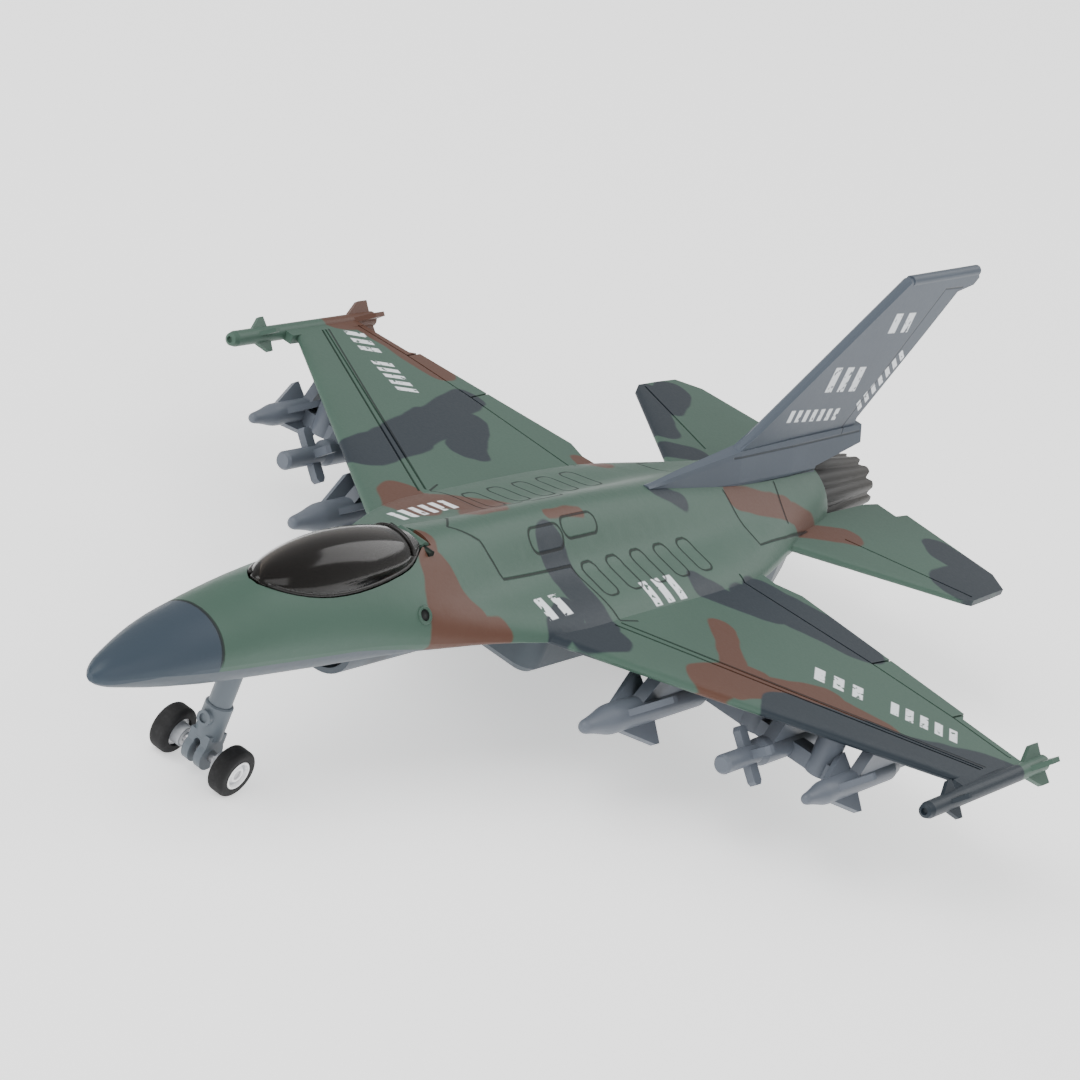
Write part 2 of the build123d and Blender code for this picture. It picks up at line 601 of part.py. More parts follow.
# ---- pull-back motor ----
def winding_place():
    """Centre of the winding shaft, above and ahead of the axle."""
    reach = GEAR_MODULE * (PINION_TEETH + WHEEL_TEETH) / 2
    slant = radians(GEAR_SLANT)
    return along(MAIN_AXLE_Y) - reach * cos(slant), MAIN_WHEEL_RADIUS + reach * sin(slant)


def gear_blank(teeth, x0, x1, y, z, start):
    """Spur gear along X with involute flanks; one tooth points in the start direction."""
    pitch = GEAR_MODULE * teeth / 2
    base = pitch * cos(radians(20))
    root, tip = pitch - 1.15 * GEAR_MODULE, pitch + 0.85 * GEAR_MODULE
    roll_at_pitch = sqrt((pitch / base) ** 2 - 1)
    half_tooth = pi / (2 * teeth) * 0.9 + roll_at_pitch - atan2(roll_at_pitch, 1)
    flank = []
    for step in range(4):
        radius = max(base, root) + (tip - max(base, root)) * step / 3
        roll = sqrt(max(0.0, (radius / base) ** 2 - 1))
        flank.append((radius, half_tooth - (roll - atan2(roll, 1))))
    outline = []
    for tooth in range(teeth):
        middle = start + 2 * pi * tooth / teeth
        rising = [(root, -flank[0][1])] + [(radius, -angle) for radius, angle in flank]
        falling = [(radius, angle) for radius, angle in reversed(flank)] + [(root, flank[0][1])]
        for radius, angle in rising + falling:
            point = (y + radius * cos(middle + angle), z + radius * sin(middle + angle))
            if not outline or hypot(point[0] - outline[-1][0], point[1] - outline[-1][1]) > 0.01:
                outline.append(point)
    return side_prism(outline, x0, x1)


def mesh_direction():
    """Direction in the YZ plane from the axle to the winding shaft."""
    y, z = winding_place()
    return atan2(z - MAIN_WHEEL_RADIUS, y - along(MAIN_AXLE_Y))


def axle_pinion():
    """Pinion pressed on the main axle."""
    y, z = along(MAIN_AXLE_Y), MAIN_WHEEL_RADIUS
    gear = gear_blank(PINION_TEETH, GEAR_X[0], GEAR_X[1], y, z, mesh_direction())
    return gear - rod_x(MAIN_AXLE_RADIUS, -HALF_SPAN, HALF_SPAN, y, z)


def winding_gear():
    """Gear and shaft that wind the mainspring."""
    y, z = winding_place()
    start = mesh_direction() + pi + pi / WHEEL_TEETH
    gear = gear_blank(WHEEL_TEETH, GEAR_X[0] + 0.15, GEAR_X[1] - 0.15, y, z, start)
    inside = MOTOR_WIDTH / 2 - CASE_WALL
    shaft = rod_x(SHAFT_RADIUS, -inside - CASE_WALL * 0.6, inside + CASE_WALL * 0.6, y, z)
    core = rod_x(SHAFT_RADIUS + 0.9, GEAR_X[1] - 0.2, inside - FREE, y, z)
    return gear + shaft + core


def mainspring():
    """Flat spiral spring wound on the winding shaft."""
    y, z = winding_place()
    inner = SHAFT_RADIUS + 0.9
    outer = GEAR_MODULE * WHEEL_TEETH / 2 - 0.6
    pitch = (outer - inner - SPRING_THICKNESS) / SPRING_TURNS
    count = SPRING_TURNS * 14

    def coil(offset):
        points = []
        for step in range(count + 1):
            angle = 2 * pi * step / 14
            radius = inner + offset + pitch * angle / (2 * pi)
            points.append((SPRING_X[0], y + radius * cos(angle), z + radius * sin(angle)))
        return points

    inside, outside = coil(0.0), list(reversed(coil(SPRING_THICKNESS)))
    wire = Wire([Edge.make_spline(inside), Edge.make_line(inside[-1], outside[0]), Edge.make_spline(outside),
                 Edge.make_line(outside[-1], inside[0])])
    return extrude(Face(wire), SPRING_X[1] - SPRING_X[0], dir=(1, 0, 0)) - winding_gear()


def case_box(inset):
    """Outline block of the motor case, inset for its inside."""
    axle_y = along(MAIN_AXLE_Y)
    shaft_y, shaft_z = winding_place()
    wheel = GEAR_MODULE * (WHEEL_TEETH + 2) / 2
    front, back = shaft_y - wheel - 1.4, axle_y + 5.2
    low, high = MAIN_WHEEL_RADIUS - CASE_DROP, shaft_z + wheel + 1.4
    outline = [(front + inset, shaft_z - 6.5), (front + 5.5, low + inset), (back - 1.5, low + inset),
               (back - inset, low + 1.5), (back - inset, high - 3), (back - 3, high - inset),
               (front + 2, high - inset), (front + inset, high - 2)]
    return side_prism(outline, -MOTOR_WIDTH / 2 + inset, MOTOR_WIDTH / 2 - inset)


def motor_lugs():
    """Screw lugs before and behind the motor case, resting on the belly floor."""
    floor = deck(BELLY_DEPTH) + SHELL_WALL
    lugs = []
    for y in motor_screw_y():
        lugs.append(block(-MOTOR_WIDTH / 2, MOTOR_WIDTH / 2, y - 2.6, y + 2.6, floor, floor + 1.6))
    return lugs[0] + lugs[1]


def motor_screw_y():
    """Stations of the motor's screws."""
    axle_y = along(MAIN_AXLE_Y)
    shaft_y, shaft_z = winding_place()
    return shaft_y - GEAR_MODULE * (WHEEL_TEETH + 2) / 2 - 3.8, axle_y + 7.6


def motor_screws():
    """Four screws that hold the motor to the belly floor."""
    low = deck(BELLY_DEPTH)
    group = []
    for y in motor_screw_y():
        for x in (-MOTOR_SCREW_X, MOTOR_SCREW_X):
            head = rod_z(SCREW_RADIUS * 1.7, low - 0.9, low, x, y)
            shank = rod_z(SCREW_RADIUS * 0.8, low - 0.1, low + SHELL_WALL + 1.6, x, y)
            group.append(cross_slot(head + shank, x, y, low - 0.9))
    return group[0] + group[1] + group[2] + group[3]


def cross_slot(screw, x, y, face_z):
    """Cut a cross recess into a screw head that faces down."""
    slot = block(x - 0.9, x + 0.9, y - 0.16, y + 0.16, face_z - 1, face_z + 0.45)
    return screw - slot - block(x - 0.16, x + 0.16, y - 0.9, y + 0.9, face_z - 1, face_z + 0.45)


def motor_case(side):
    """Half of the motor case: side is +1 for the port half and -1 for the other."""
    shell = case_box(0.0) - case_box(CASE_WALL) + motor_lugs()
    y, z = winding_place()
    inside = MOTOR_WIDTH / 2 - CASE_WALL
    shell -= rod_x(MAIN_AXLE_RADIUS + RUNNING, -HALF_SPAN, HALF_SPAN, along(MAIN_AXLE_Y), MAIN_WHEEL_RADIUS)
    shell -= rod_x(SHAFT_RADIUS + RUNNING, -inside - CASE_WALL * 0.75, inside + CASE_WALL * 0.75, y, z)
    for screw_y in motor_screw_y():
        for x in (-MOTOR_SCREW_X, MOTOR_SCREW_X):
            shell -= rod_z(SCREW_RADIUS * 0.8, 0, deck(0), x, screw_y)
    keep = block(0, HALF_SPAN, -BODY_LENGTH, BODY_LENGTH, 0, deck(20))
    return shell & (keep if side > 0 else mirrored(keep))


def main_axle():
    """Steel axle of the main wheels."""
    half = MAIN_TRACK / 2 + MAIN_TYRE_WIDTH / 2 - 0.4
    return rod_x(MAIN_AXLE_RADIUS, -half, half, along(MAIN_AXLE_Y), MAIN_WHEEL_RADIUS)


def nose_axle():
    """Steel axle of the nose wheels."""
    half = NOSE_TRACK / 2 + NOSE_TYRE_WIDTH / 2 - 0.4
    return rod_x(NOSE_AXLE_RADIUS, -half, half, along(NOSE_LEG_Y), NOSE_WHEEL_RADIUS)


# ---- screws through the body ----
def body_bottom(y):
    """Height above the ground of the belly skin under a body screw."""
    if y > -20:
        return deck(BELLY_DEPTH) + 0.5
    if y > -60:
        return INTAKE_LOW
    return deck(-4.3)


def seam_height(y):
    """Height of the seam above the ground at a station."""
    line = split_line()
    for (y0, z0), (y1, z1) in zip(line, line[1:]):
        if y0 <= y <= y1:
            return deck(z0 + (z1 - z0) * (y - y0) / (y1 - y0))
    raise ValueError("no seam at this station")


def body_screws():
    """Screws that pull the lower shell up to the casting."""
    group = []
    for y in BODY_SCREW_Y:
        seat = body_bottom(y) + SCREW_SINK
        head = rod_z(SCREW_RADIUS * 1.8, seat - 1.1, seat, 0, along(y))
        shank = rod_z(SCREW_RADIUS, seat - 0.1, seam_height(y) + SCREW_GRIP - 0.5, 0, along(y))
        group.append(cross_slot(head + shank, 0, along(y), seat - 1.1))
    return group[0] + group[1] + group[2]


def rack_screws():
    """Screws up through the racks' bosses into the wing pegs."""
    group = []
    seat = BOMB_AXIS_Z - 0.2
    for x in RACK_BOSS_X:
        for side in (-1, 1):
            head = rod_z(RACK_SCREW_HEAD, seat - 0.9, seat, side * x, along(BAR_Y))
            shank = rod_z(RACK_SCREW_SHANK, seat - 0.1, PEG_LOW + 3.0, side * x, along(BAR_Y))
            group.append(head + shank)
    return group[0] + group[1] + group[2] + group[3]


# ---- upper casting ----
def strip(points, width):
    """Thin upright bars along a line seen from above."""
    bars = []
    for (x0, y0), (x1, y1) in zip(points, points[1:]):
        length = hypot(x1 - x0, y1 - y0) + width
        turn = degrees(atan2(y1 - y0, x1 - x0))
        place = Pos((x0 + x1) / 2, (y0 + y1) / 2, deck(6)) * Rot(0, 0, turn)
        bars.append(place * Box(length, width, 22))
    return bars


def wing_lines():
    """Engraved lines of the port wing: the pair beside the leading edge and the flap's edges."""
    tip = HALF_SPAN - TIP_INSET - 0.4
    root = 19.6
    pair = [[(root, wing_lead_y(root) + gap), (tip, wing_lead_y(tip) + gap * 0.5)] for gap in (13.0, 14.7)]
    flap = [[(17.0, 29.2), (28.0, 31.0), (41.5, 33.2), (FLAP_SPAN[1], 34.8), (tip, 35.0)],
            [(41.5, 33.2), (42.0, 40.0)], [(FLAP_SPAN[1], 34.8), (FLAP_SPAN[1] + 0.3, 40.0)]]
    return pair + stretched(flap)


def tail_lines():
    """Engraved line of the port tailplane."""
    return stretched([[(15.0, 66.5), (35.0, 77.0)]])


def stretched(lines):
    """Lines given at the nominal length, moved with the body's length."""
    return [[(x, along(y)) for x, y in line] for line in lines]


def casting_blank():
    """Casting before it is hollowed: upper body, wings, tailplanes and tip missiles."""
    upper = body_envelope() & above_split()
    side = wing() + tip_missile()
    tail = tailplane()
    return upper + [side, mirrored(side), tail, mirrored(tail)]


def screw_posts():
    """Posts for the body screws and ears for the canopy's pin, before they are trimmed to the body."""
    y, z = along(PIVOT_Y), deck(PIVOT_RISE)
    ears = block(-5.2, 5.2, y - 2, y + 2, z - 2.0, z + 3)
    return [ears] + [rod_z(SCREW_RADIUS + 1.4, seam_height(at), deck(12), 0, along(at)) for at in BODY_SCREW_Y]


def casting_holes():
    """Everything cut from the casting: cockpit, hinge, nozzle seat and the holes for pegs and screws."""
    y, z = along(PIVOT_Y), deck(PIVOT_RISE)
    holes = [canopy_hole(CANOPY_GAP),
             block(-KNUCKLE_HALF_WIDTH - SEAM, KNUCKLE_HALF_WIDTH + SEAM, y - 2,
                   y + KNUCKLE_RADIUS + FREE, deck(2), deck(20)),
             rod_x(PIVOT_RADIUS, -KNUCKLE_HALF_WIDTH - 1.6, KNUCKLE_HALF_WIDTH + 1.6, y, z),
             nozzle_bore()]
    holes += [rod_z(FIN_PEG_RADIUS, deck(0), deck(20), 0, along(at)) for at in FIN_PEG_Y]
    holes += [rod_z(SCREW_RADIUS, deck(-6), seam_height(at) + SCREW_GRIP, 0, along(at)) for at in BODY_SCREW_Y]
    for x in RACK_BOSS_X:
        for side in (-1, 1):
            holes.append(rod_z(RACK_SCREW_SHANK, PEG_LOW - 1, PEG_LOW + 3.0, side * x, along(BAR_Y)))
    return holes


def upper_casting(blank):
    """Hollow metal casting with its posts, openings, holes and engraved lines."""
    casting = blank - body_cavity(CASTING_WALL, CAVITY_HALF_WIDTH, -97, 61)
    added = [post & blank for post in screw_posts()]
    for x in RACK_BOSS_X:
        peg = rod_z(RACK_PEG_RADIUS, PEG_LOW, wing_middle_z(x), x, along(BAR_Y))
        added += [peg, mirrored(peg)]
    casting = casting + added
    lines = [carve(wing_lines(), wing()), carve(tail_lines(), tailplane())]
    return largest(casting - (casting_holes() + lines + [mirrored(line) for line in lines]))


def canopy_hole(gap):
    """Upright prism over the canopy's plan outline, grown by a gap."""
    first, last = CANOPY[0][0], CANOPY[-1][0]
    middle, reach = (first + last) / 2, (last - first) / 2
    grow_x = 1 + gap / max(half for y, half, crown in CANOPY)
    grow_y = 1 + gap / reach
    port = [(half * grow_x, along(middle + (y - middle) * grow_y), 0) for y, half, crown in CANOPY]
    starboard = [(-x, y, z) for x, y, z in reversed(port)]
    rim = [Edge.make_spline(port), Edge.make_line(port[-1], starboard[0]), Edge.make_spline(starboard),
           Edge.make_line(starboard[-1], port[0])]
    low = deck(TUB_FLOOR - 3)
    return Pos(0, 0, low) * extrude(Face(Wire(rim)), deck(20) - low, dir=(0, 0, 1))


def nozzle_bore():
    """Seat of the nozzle in both halves of the body, with the groove for its flange."""
    z = deck(NOZZLE_RISE)
    front = along(NOZZLE_FRONT_Y)
    bore = rod_y(NOZZLE_FRONT_RADIUS + SEAM, front - 6, along(RING_Y) + 3, 0, z)
    return bore + rod_y(NOZZLE_FRONT_RADIUS + NOZZLE_FLANGE + SEAM, front - 0.2, front + 1.4, 0, z)


def carve(lines, surface):
    """Cutter for engraved lines: upright bars, kept only where they are above the lowered surface."""
    bars = []
    for line in lines:
        bars += strip(line, GROOVE_WIDTH)
    return (Part() + bars) - Pos(0, 0, -GROOVE_DEPTH) * surface


# ---- lower shell ----
def intake(radius, front):
    """Rounded intake duct under the forward body."""
    z = INTAKE_LOW + INTAKE_RADIUS
    tube = rod_y(radius, along(front) - 4, along(-16.0), 0, z)
    ahead = side_prism([(along(front) - 12, z - 8), (along(front), z - 8), (along(front) - 4, deck(3)),
                        (along(front) - 12, deck(3))], -HALF_SPAN, HALF_SPAN)
    return tube - ahead


def belly(inset):
    """Flat-bottomed belly with a tapered tail, inset for the inside."""
    half, low, high = BELLY_HALF_WIDTH - inset, deck(BELLY_DEPTH) + inset, deck(SEAM_DROP)
    front, middle, back = along(-19.5) + inset, along(BELLY_TAPER_Y), along(63.0) - inset
    box = block(-half, half, front, middle, low, high)
    corner = [edge for edge in box.edges().filter_by(Axis.Z) if edge.center().Y < 0]
    box = fillet(corner, 3.0 - inset)
    rows = []
    for y, width, bottom in ((middle, half, low), (back, 8.2 - inset, low + 0.8)):
        points = [(width, y, high), (width, y, bottom + BELLY_CHAMFER), (width - BELLY_CHAMFER, y, bottom),
                  (-width + BELLY_CHAMFER, y, bottom), (-width, y, bottom + BELLY_CHAMFER), (-width, y, high)]
        rows.append(Wire.make_polygon(points, close=True))
    rows_front = Solid.make_loft(rows, ruled=True)
    low_edges = [edge for edge in box.edges().filter_by(Axis.Y) if edge.center().Z < low + 0.1]
    return chamfer(low_edges, BELLY_CHAMFER) + rows_front


def lower_shell():
    """Plastic underside: nose, intake and belly, with the leg socket, screw bosses and motor well."""
    upper = above_split()
    hull = body_envelope()
    outer = (hull - upper) + [intake(INTAKE_RADIUS, INTAKE_FRONT_Y) - upper, belly(0.0) - upper]
    throat = rod_y(INTAKE_RADIUS - 0.9, along(INTAKE_FRONT_Y) - 12, along(INTAKE_FRONT_Y) + 7, 0,
                   INTAKE_LOW + INTAKE_RADIUS) - hull
    shell = outer - [body_cavity(SHELL_WALL, BELLY_HALF_WIDTH, -97, 61), belly(SHELL_WALL), throat]
    leg_y = along(NOSE_LEG_Y)
    extras = [rod_z(LEG_RADIUS + 1.3, 0, deck(LEG_HEAD_RISE), 0, leg_y)]
    extras += [rod_z(SCREW_RADIUS + 1.9, 0, seam_height(y), 0, along(y)) for y in BODY_SCREW_Y]
    tub_low = deck(TUB_FLOOR - TUB_WALL)
    ribs = [block(-3.5, 3.5, along(y) - 0.6, along(y) + 0.6, 0, tub_low) & hull for y in SHELL_RIB_Y]
    shell = shell + ([extra & outer for extra in extras] + ribs)
    cuts = [rod_z(LEG_RADIUS, 0, deck(0), 0, leg_y), motor_well(), nozzle_bore()]
    for y in BODY_SCREW_Y:
        cuts.append(rod_z(SCREW_RADIUS + SEAM, 0, deck(0), 0, along(y)))
        cuts.append(rod_z(SCREW_RADIUS * 1.8 + SEAM, 0, body_bottom(y) + SCREW_SINK, 0, along(y)))
    for y in motor_screw_y():
        cuts += [rod_z(SCREW_RADIUS * 0.8, 0, deck(-5), x, y) for x in (-MOTOR_SCREW_X, MOTOR_SCREW_X)]
    return largest(shell - cuts)


def motor_well():
    """Opening in the belly floor for the motor case."""
    box = case_box(0.0).bounding_box()
    half = MOTOR_WIDTH / 2 + SEAM
    return block(-half, half, box.min.Y - SEAM, box.max.Y + SEAM, 0, deck(BELLY_DEPTH) + SHELL_WALL + 0.5)


# ---- assembly ----
def wheel_set(name, radius, width, axle_radius, track, boss, y):
    """Hubs and tyres of one axle."""
    rim = rim_radius(radius)
    pieces = {}
    for side, word in ((1, "port"), (-1, "starboard")):
        pieces[f"{word}_{name}_tyre"] = tyre(radius, width, rim, side * track / 2, y)
        pieces[f"{word}_{name}_hub"] = hub(radius, width, rim, axle_radius, boss, track / 2, y, side)
    return pieces


def all_parts():
    """Every node of the model by name."""
    blank = casting_blank()
    casting = upper_casting(blank)
    rack = stores_rack(casting)
    pieces = {
        "upper_casting": casting,
        "lower_shell": lower_shell(),
        "canopy": canopy(),
        "canopy_pin": canopy_pin(),
        "cockpit_tub": cockpit_tub(),
        "ejection_seat": ejection_seat(),
        "tail_fin": tail_fin(blank),
        "exhaust_nozzle": nozzle(),
        "port_stores_rack": rack,
        "starboard_stores_rack": mirrored(rack),
        "rack_screws": rack_screws(),
        "body_screws": body_screws(),
        "nose_leg": nose_leg(),
        "nose_axle": nose_axle(),
        "main_axle": main_axle(),
        "axle_pinion": axle_pinion(),
        "winding_gear": winding_gear(),
        "mainspring": mainspring(),
        "port_motor_case": motor_case(1),
        "starboard_motor_case": motor_case(-1),
        "motor_screws": motor_screws(),
    }
    pieces.update(wheel_set("nose", NOSE_WHEEL_RADIUS, NOSE_TYRE_WIDTH, NOSE_AXLE_RADIUS, NOSE_TRACK, 1.1,
                            along(NOSE_LEG_Y)))
    pieces.update(wheel_set("main", MAIN_WHEEL_RADIUS, MAIN_TYRE_WIDTH, MAIN_AXLE_RADIUS, MAIN_TRACK, 1.0,
                            along(MAIN_AXLE_Y)))
    return pieces


if __name__ == "__main__":
    os.makedirs("parts", exist_ok=True)
    for node, shape in all_parts().items():
        export_step(shape, f"parts/{node}.step")
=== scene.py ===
"""Finishes and small fittings of a die-cast toy jet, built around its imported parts.

Metres, nose towards -Y, port wing towards +X. Paint shapes are given in millimetres as seen from above.
"""

from math import cos, pi, radians, sin

import bmesh
import bpy
from mathutils import Matrix, Vector
from mathutils.bvhtree import BVHTree


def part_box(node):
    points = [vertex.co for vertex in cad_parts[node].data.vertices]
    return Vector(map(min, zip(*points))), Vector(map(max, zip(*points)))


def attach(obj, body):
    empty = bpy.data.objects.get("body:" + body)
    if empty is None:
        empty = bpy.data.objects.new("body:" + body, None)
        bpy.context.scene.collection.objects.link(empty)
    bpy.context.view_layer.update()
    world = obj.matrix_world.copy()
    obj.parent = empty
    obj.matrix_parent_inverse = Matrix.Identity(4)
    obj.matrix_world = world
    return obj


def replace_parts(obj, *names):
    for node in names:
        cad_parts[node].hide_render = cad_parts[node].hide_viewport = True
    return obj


bl_info = {
    "name": "Toy jet finishes",
    "version": (1, 0, 0),
    "blender": (4, 5, 0),
    "location": "View3D > Sidebar > Toy jet",
    "description": "Paints and details a die-cast toy jet around its packed parts",
    "category": "Object",
}

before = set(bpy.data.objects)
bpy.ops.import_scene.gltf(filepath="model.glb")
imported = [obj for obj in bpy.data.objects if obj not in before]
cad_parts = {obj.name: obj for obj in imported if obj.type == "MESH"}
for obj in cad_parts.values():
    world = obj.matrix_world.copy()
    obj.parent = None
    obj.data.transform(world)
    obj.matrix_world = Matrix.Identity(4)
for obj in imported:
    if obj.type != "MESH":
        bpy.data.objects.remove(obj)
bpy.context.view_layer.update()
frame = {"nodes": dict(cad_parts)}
NODES = frame["nodes"]
MM = 0.001
BODY = "airframe"

# Canopy moulding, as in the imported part
CANOPY_WALL = 1.0 * MM
KNUCKLE_RADIUS = 1.15 * MM
KNUCKLE_REACH = 1.2 * MM       # from the dome's rear face to the pin's axis
SILL = 1.6 * MM                # height over the canopy's foot at which its sides are taken
END_MARGIN = 0.04 * MM
CANOPY_RIB_RADIUS = 0.3 * MM
CANOPY_RIB_SETBACK = 3.2 * MM  # from the dome's rear face

# Spray rings inside the nozzle
FLAME_RING_WIRE = 0.3 * MM
FLAME_RING_DEPTH = 4.0 * MM

# Stage
FLOOR_GLOW = 0.8
SURROUND = 0.68
AIM = Vector((-6.0, 6.8, 20.8)) * MM


# ---- colours ----
def screen(red, green, blue):
    """Linear colour of a swatch given as screen values from 0 to 255."""
    def linear(level):
        share = level / 255
        return share / 12.92 if share <= 0.04045 else ((share + 0.055) / 1.055) ** 2.4
    return tuple(linear(level) for level in (red, green, blue))


def shade(color, share, lift=0.0):
    """A colour made lighter or darker by a share, and lifted evenly."""
    return tuple(c * share + lift for c in color)


def swatch(name, description, default):
    """Colour property with a linear default."""
    return bpy.props.FloatVectorProperty(name=name, description=description, subtype="COLOR", size=3,
                                         min=0.0, max=1.0, default=default)


def length(name, description, default):
    """Length property in metres."""
    return bpy.props.FloatProperty(name=name, description=description, unit="LENGTH", min=0.0,
                                   default=default)


class PaintSettings(bpy.types.PropertyGroup):
    """Paint of the metal casting."""
    green: swatch("Green", "Base coat of the camouflage", screen(61, 84, 73))
    brown: swatch("Brown", "Brown patches", screen(85, 56, 44))
    slate: swatch("Slate", "Dark grey patches", screen(33, 42, 50))
    radome: swatch("Radome", "Nose cone", screen(50, 62, 73))
    marking: swatch("Markings", "Plain bars on the wings and fin", screen(232, 236, 240))
    line: swatch("Panel lines", "Dark wash in the engraved lines", screen(16, 20, 20))
    line_width: length("Line width", "Width of a panel line", 0.36 * MM)


class PlasticSettings(bpy.types.PropertyGroup):
    """Colours of the plastic mouldings."""
    shell: swatch("Underside", "Lower shell", screen(72, 80, 87))
    fin: swatch("Fin", "Tail fin", screen(76, 84, 94))
    stores: swatch("Stores", "Bombs, missiles and pylons", screen(92, 98, 107))
    leg: swatch("Nose leg", "Nose leg", screen(96, 104, 111))
    nozzle: swatch("Nozzle", "Exhaust nozzle", screen(24, 23, 22))
    cockpit: swatch("Cockpit", "Cockpit tub and seat", screen(34, 34, 34))
    motor: swatch("Motor", "Motor case", screen(26, 26, 27))
    tyre: swatch("Tyres", "Rubber of the tyres", screen(28, 28, 29))
    hub: swatch("Hubs", "Wheel centres", screen(252, 252, 253))


class CanopySettings(bpy.types.PropertyGroup):
    """Smoked canopy."""
    tint: swatch("Tint", "Colour of the smoked plastic", screen(66, 60, 54))
    frame: swatch("Frame", "Edge bead and rear band", screen(30, 29, 28))
    bead: length("Bead", "Radius of the bead around the edge", 0.34 * MM)


class StageSettings(bpy.types.PropertyGroup):
    """Floor and camera."""
    floor: swatch("Floor", "Colour of the floor", (0.93, 0.93, 0.93))
    azimuth: bpy.props.FloatProperty(name="Azimuth", subtype="ANGLE", default=radians(27.30),
                                     description="Camera direction from the nose towards port")
    elevation: bpy.props.FloatProperty(name="Elevation", description="Camera height angle",
                                       subtype="ANGLE", default=radians(22.57))
    roll: bpy.props.FloatProperty(name="Roll", description="Turn of the camera about its own axis",
                                  subtype="ANGLE", default=radians(22.93))
    distance: length("Distance", "Camera distance from the aim point", 0.575)
    lens: bpy.props.FloatProperty(name="Lens", description="Focal length on a 36 mm sensor", unit="CAMERA",
                                  default=125.07)


# ---- shader expressions ----
class Value:
    """A shader socket that can be used in Python expressions."""

    def __init__(self, finish, socket):
        self.finish = finish
        self.socket = socket

    def math(self, operation, *others):
        """Math node with this value first."""
        return self.finish.node("ShaderNodeMath", {"operation": operation}, dict(enumerate((self,) + others)))

    def __add__(self, other):
        return self.math("ADD", other)

    def __sub__(self, other):
        return self.math("SUBTRACT", other)

    def __rsub__(self, other):
        return self.finish.node("ShaderNodeMath", {"operation": "SUBTRACT"}, {0: other, 1: self})

    def __mul__(self, other):
        return self.math("MULTIPLY", other)

    def __truediv__(self, other):
        return self.math("DIVIDE", other)

    def __abs__(self):
        return self.math("ABSOLUTE")

    __radd__ = __add__
    __rmul__ = __mul__

    def low(self, other):
        """Smaller of two values."""
        return self.math("MINIMUM", other)

    def high(self, other):
        """Larger of two values."""
        return self.math("MAXIMUM", other)


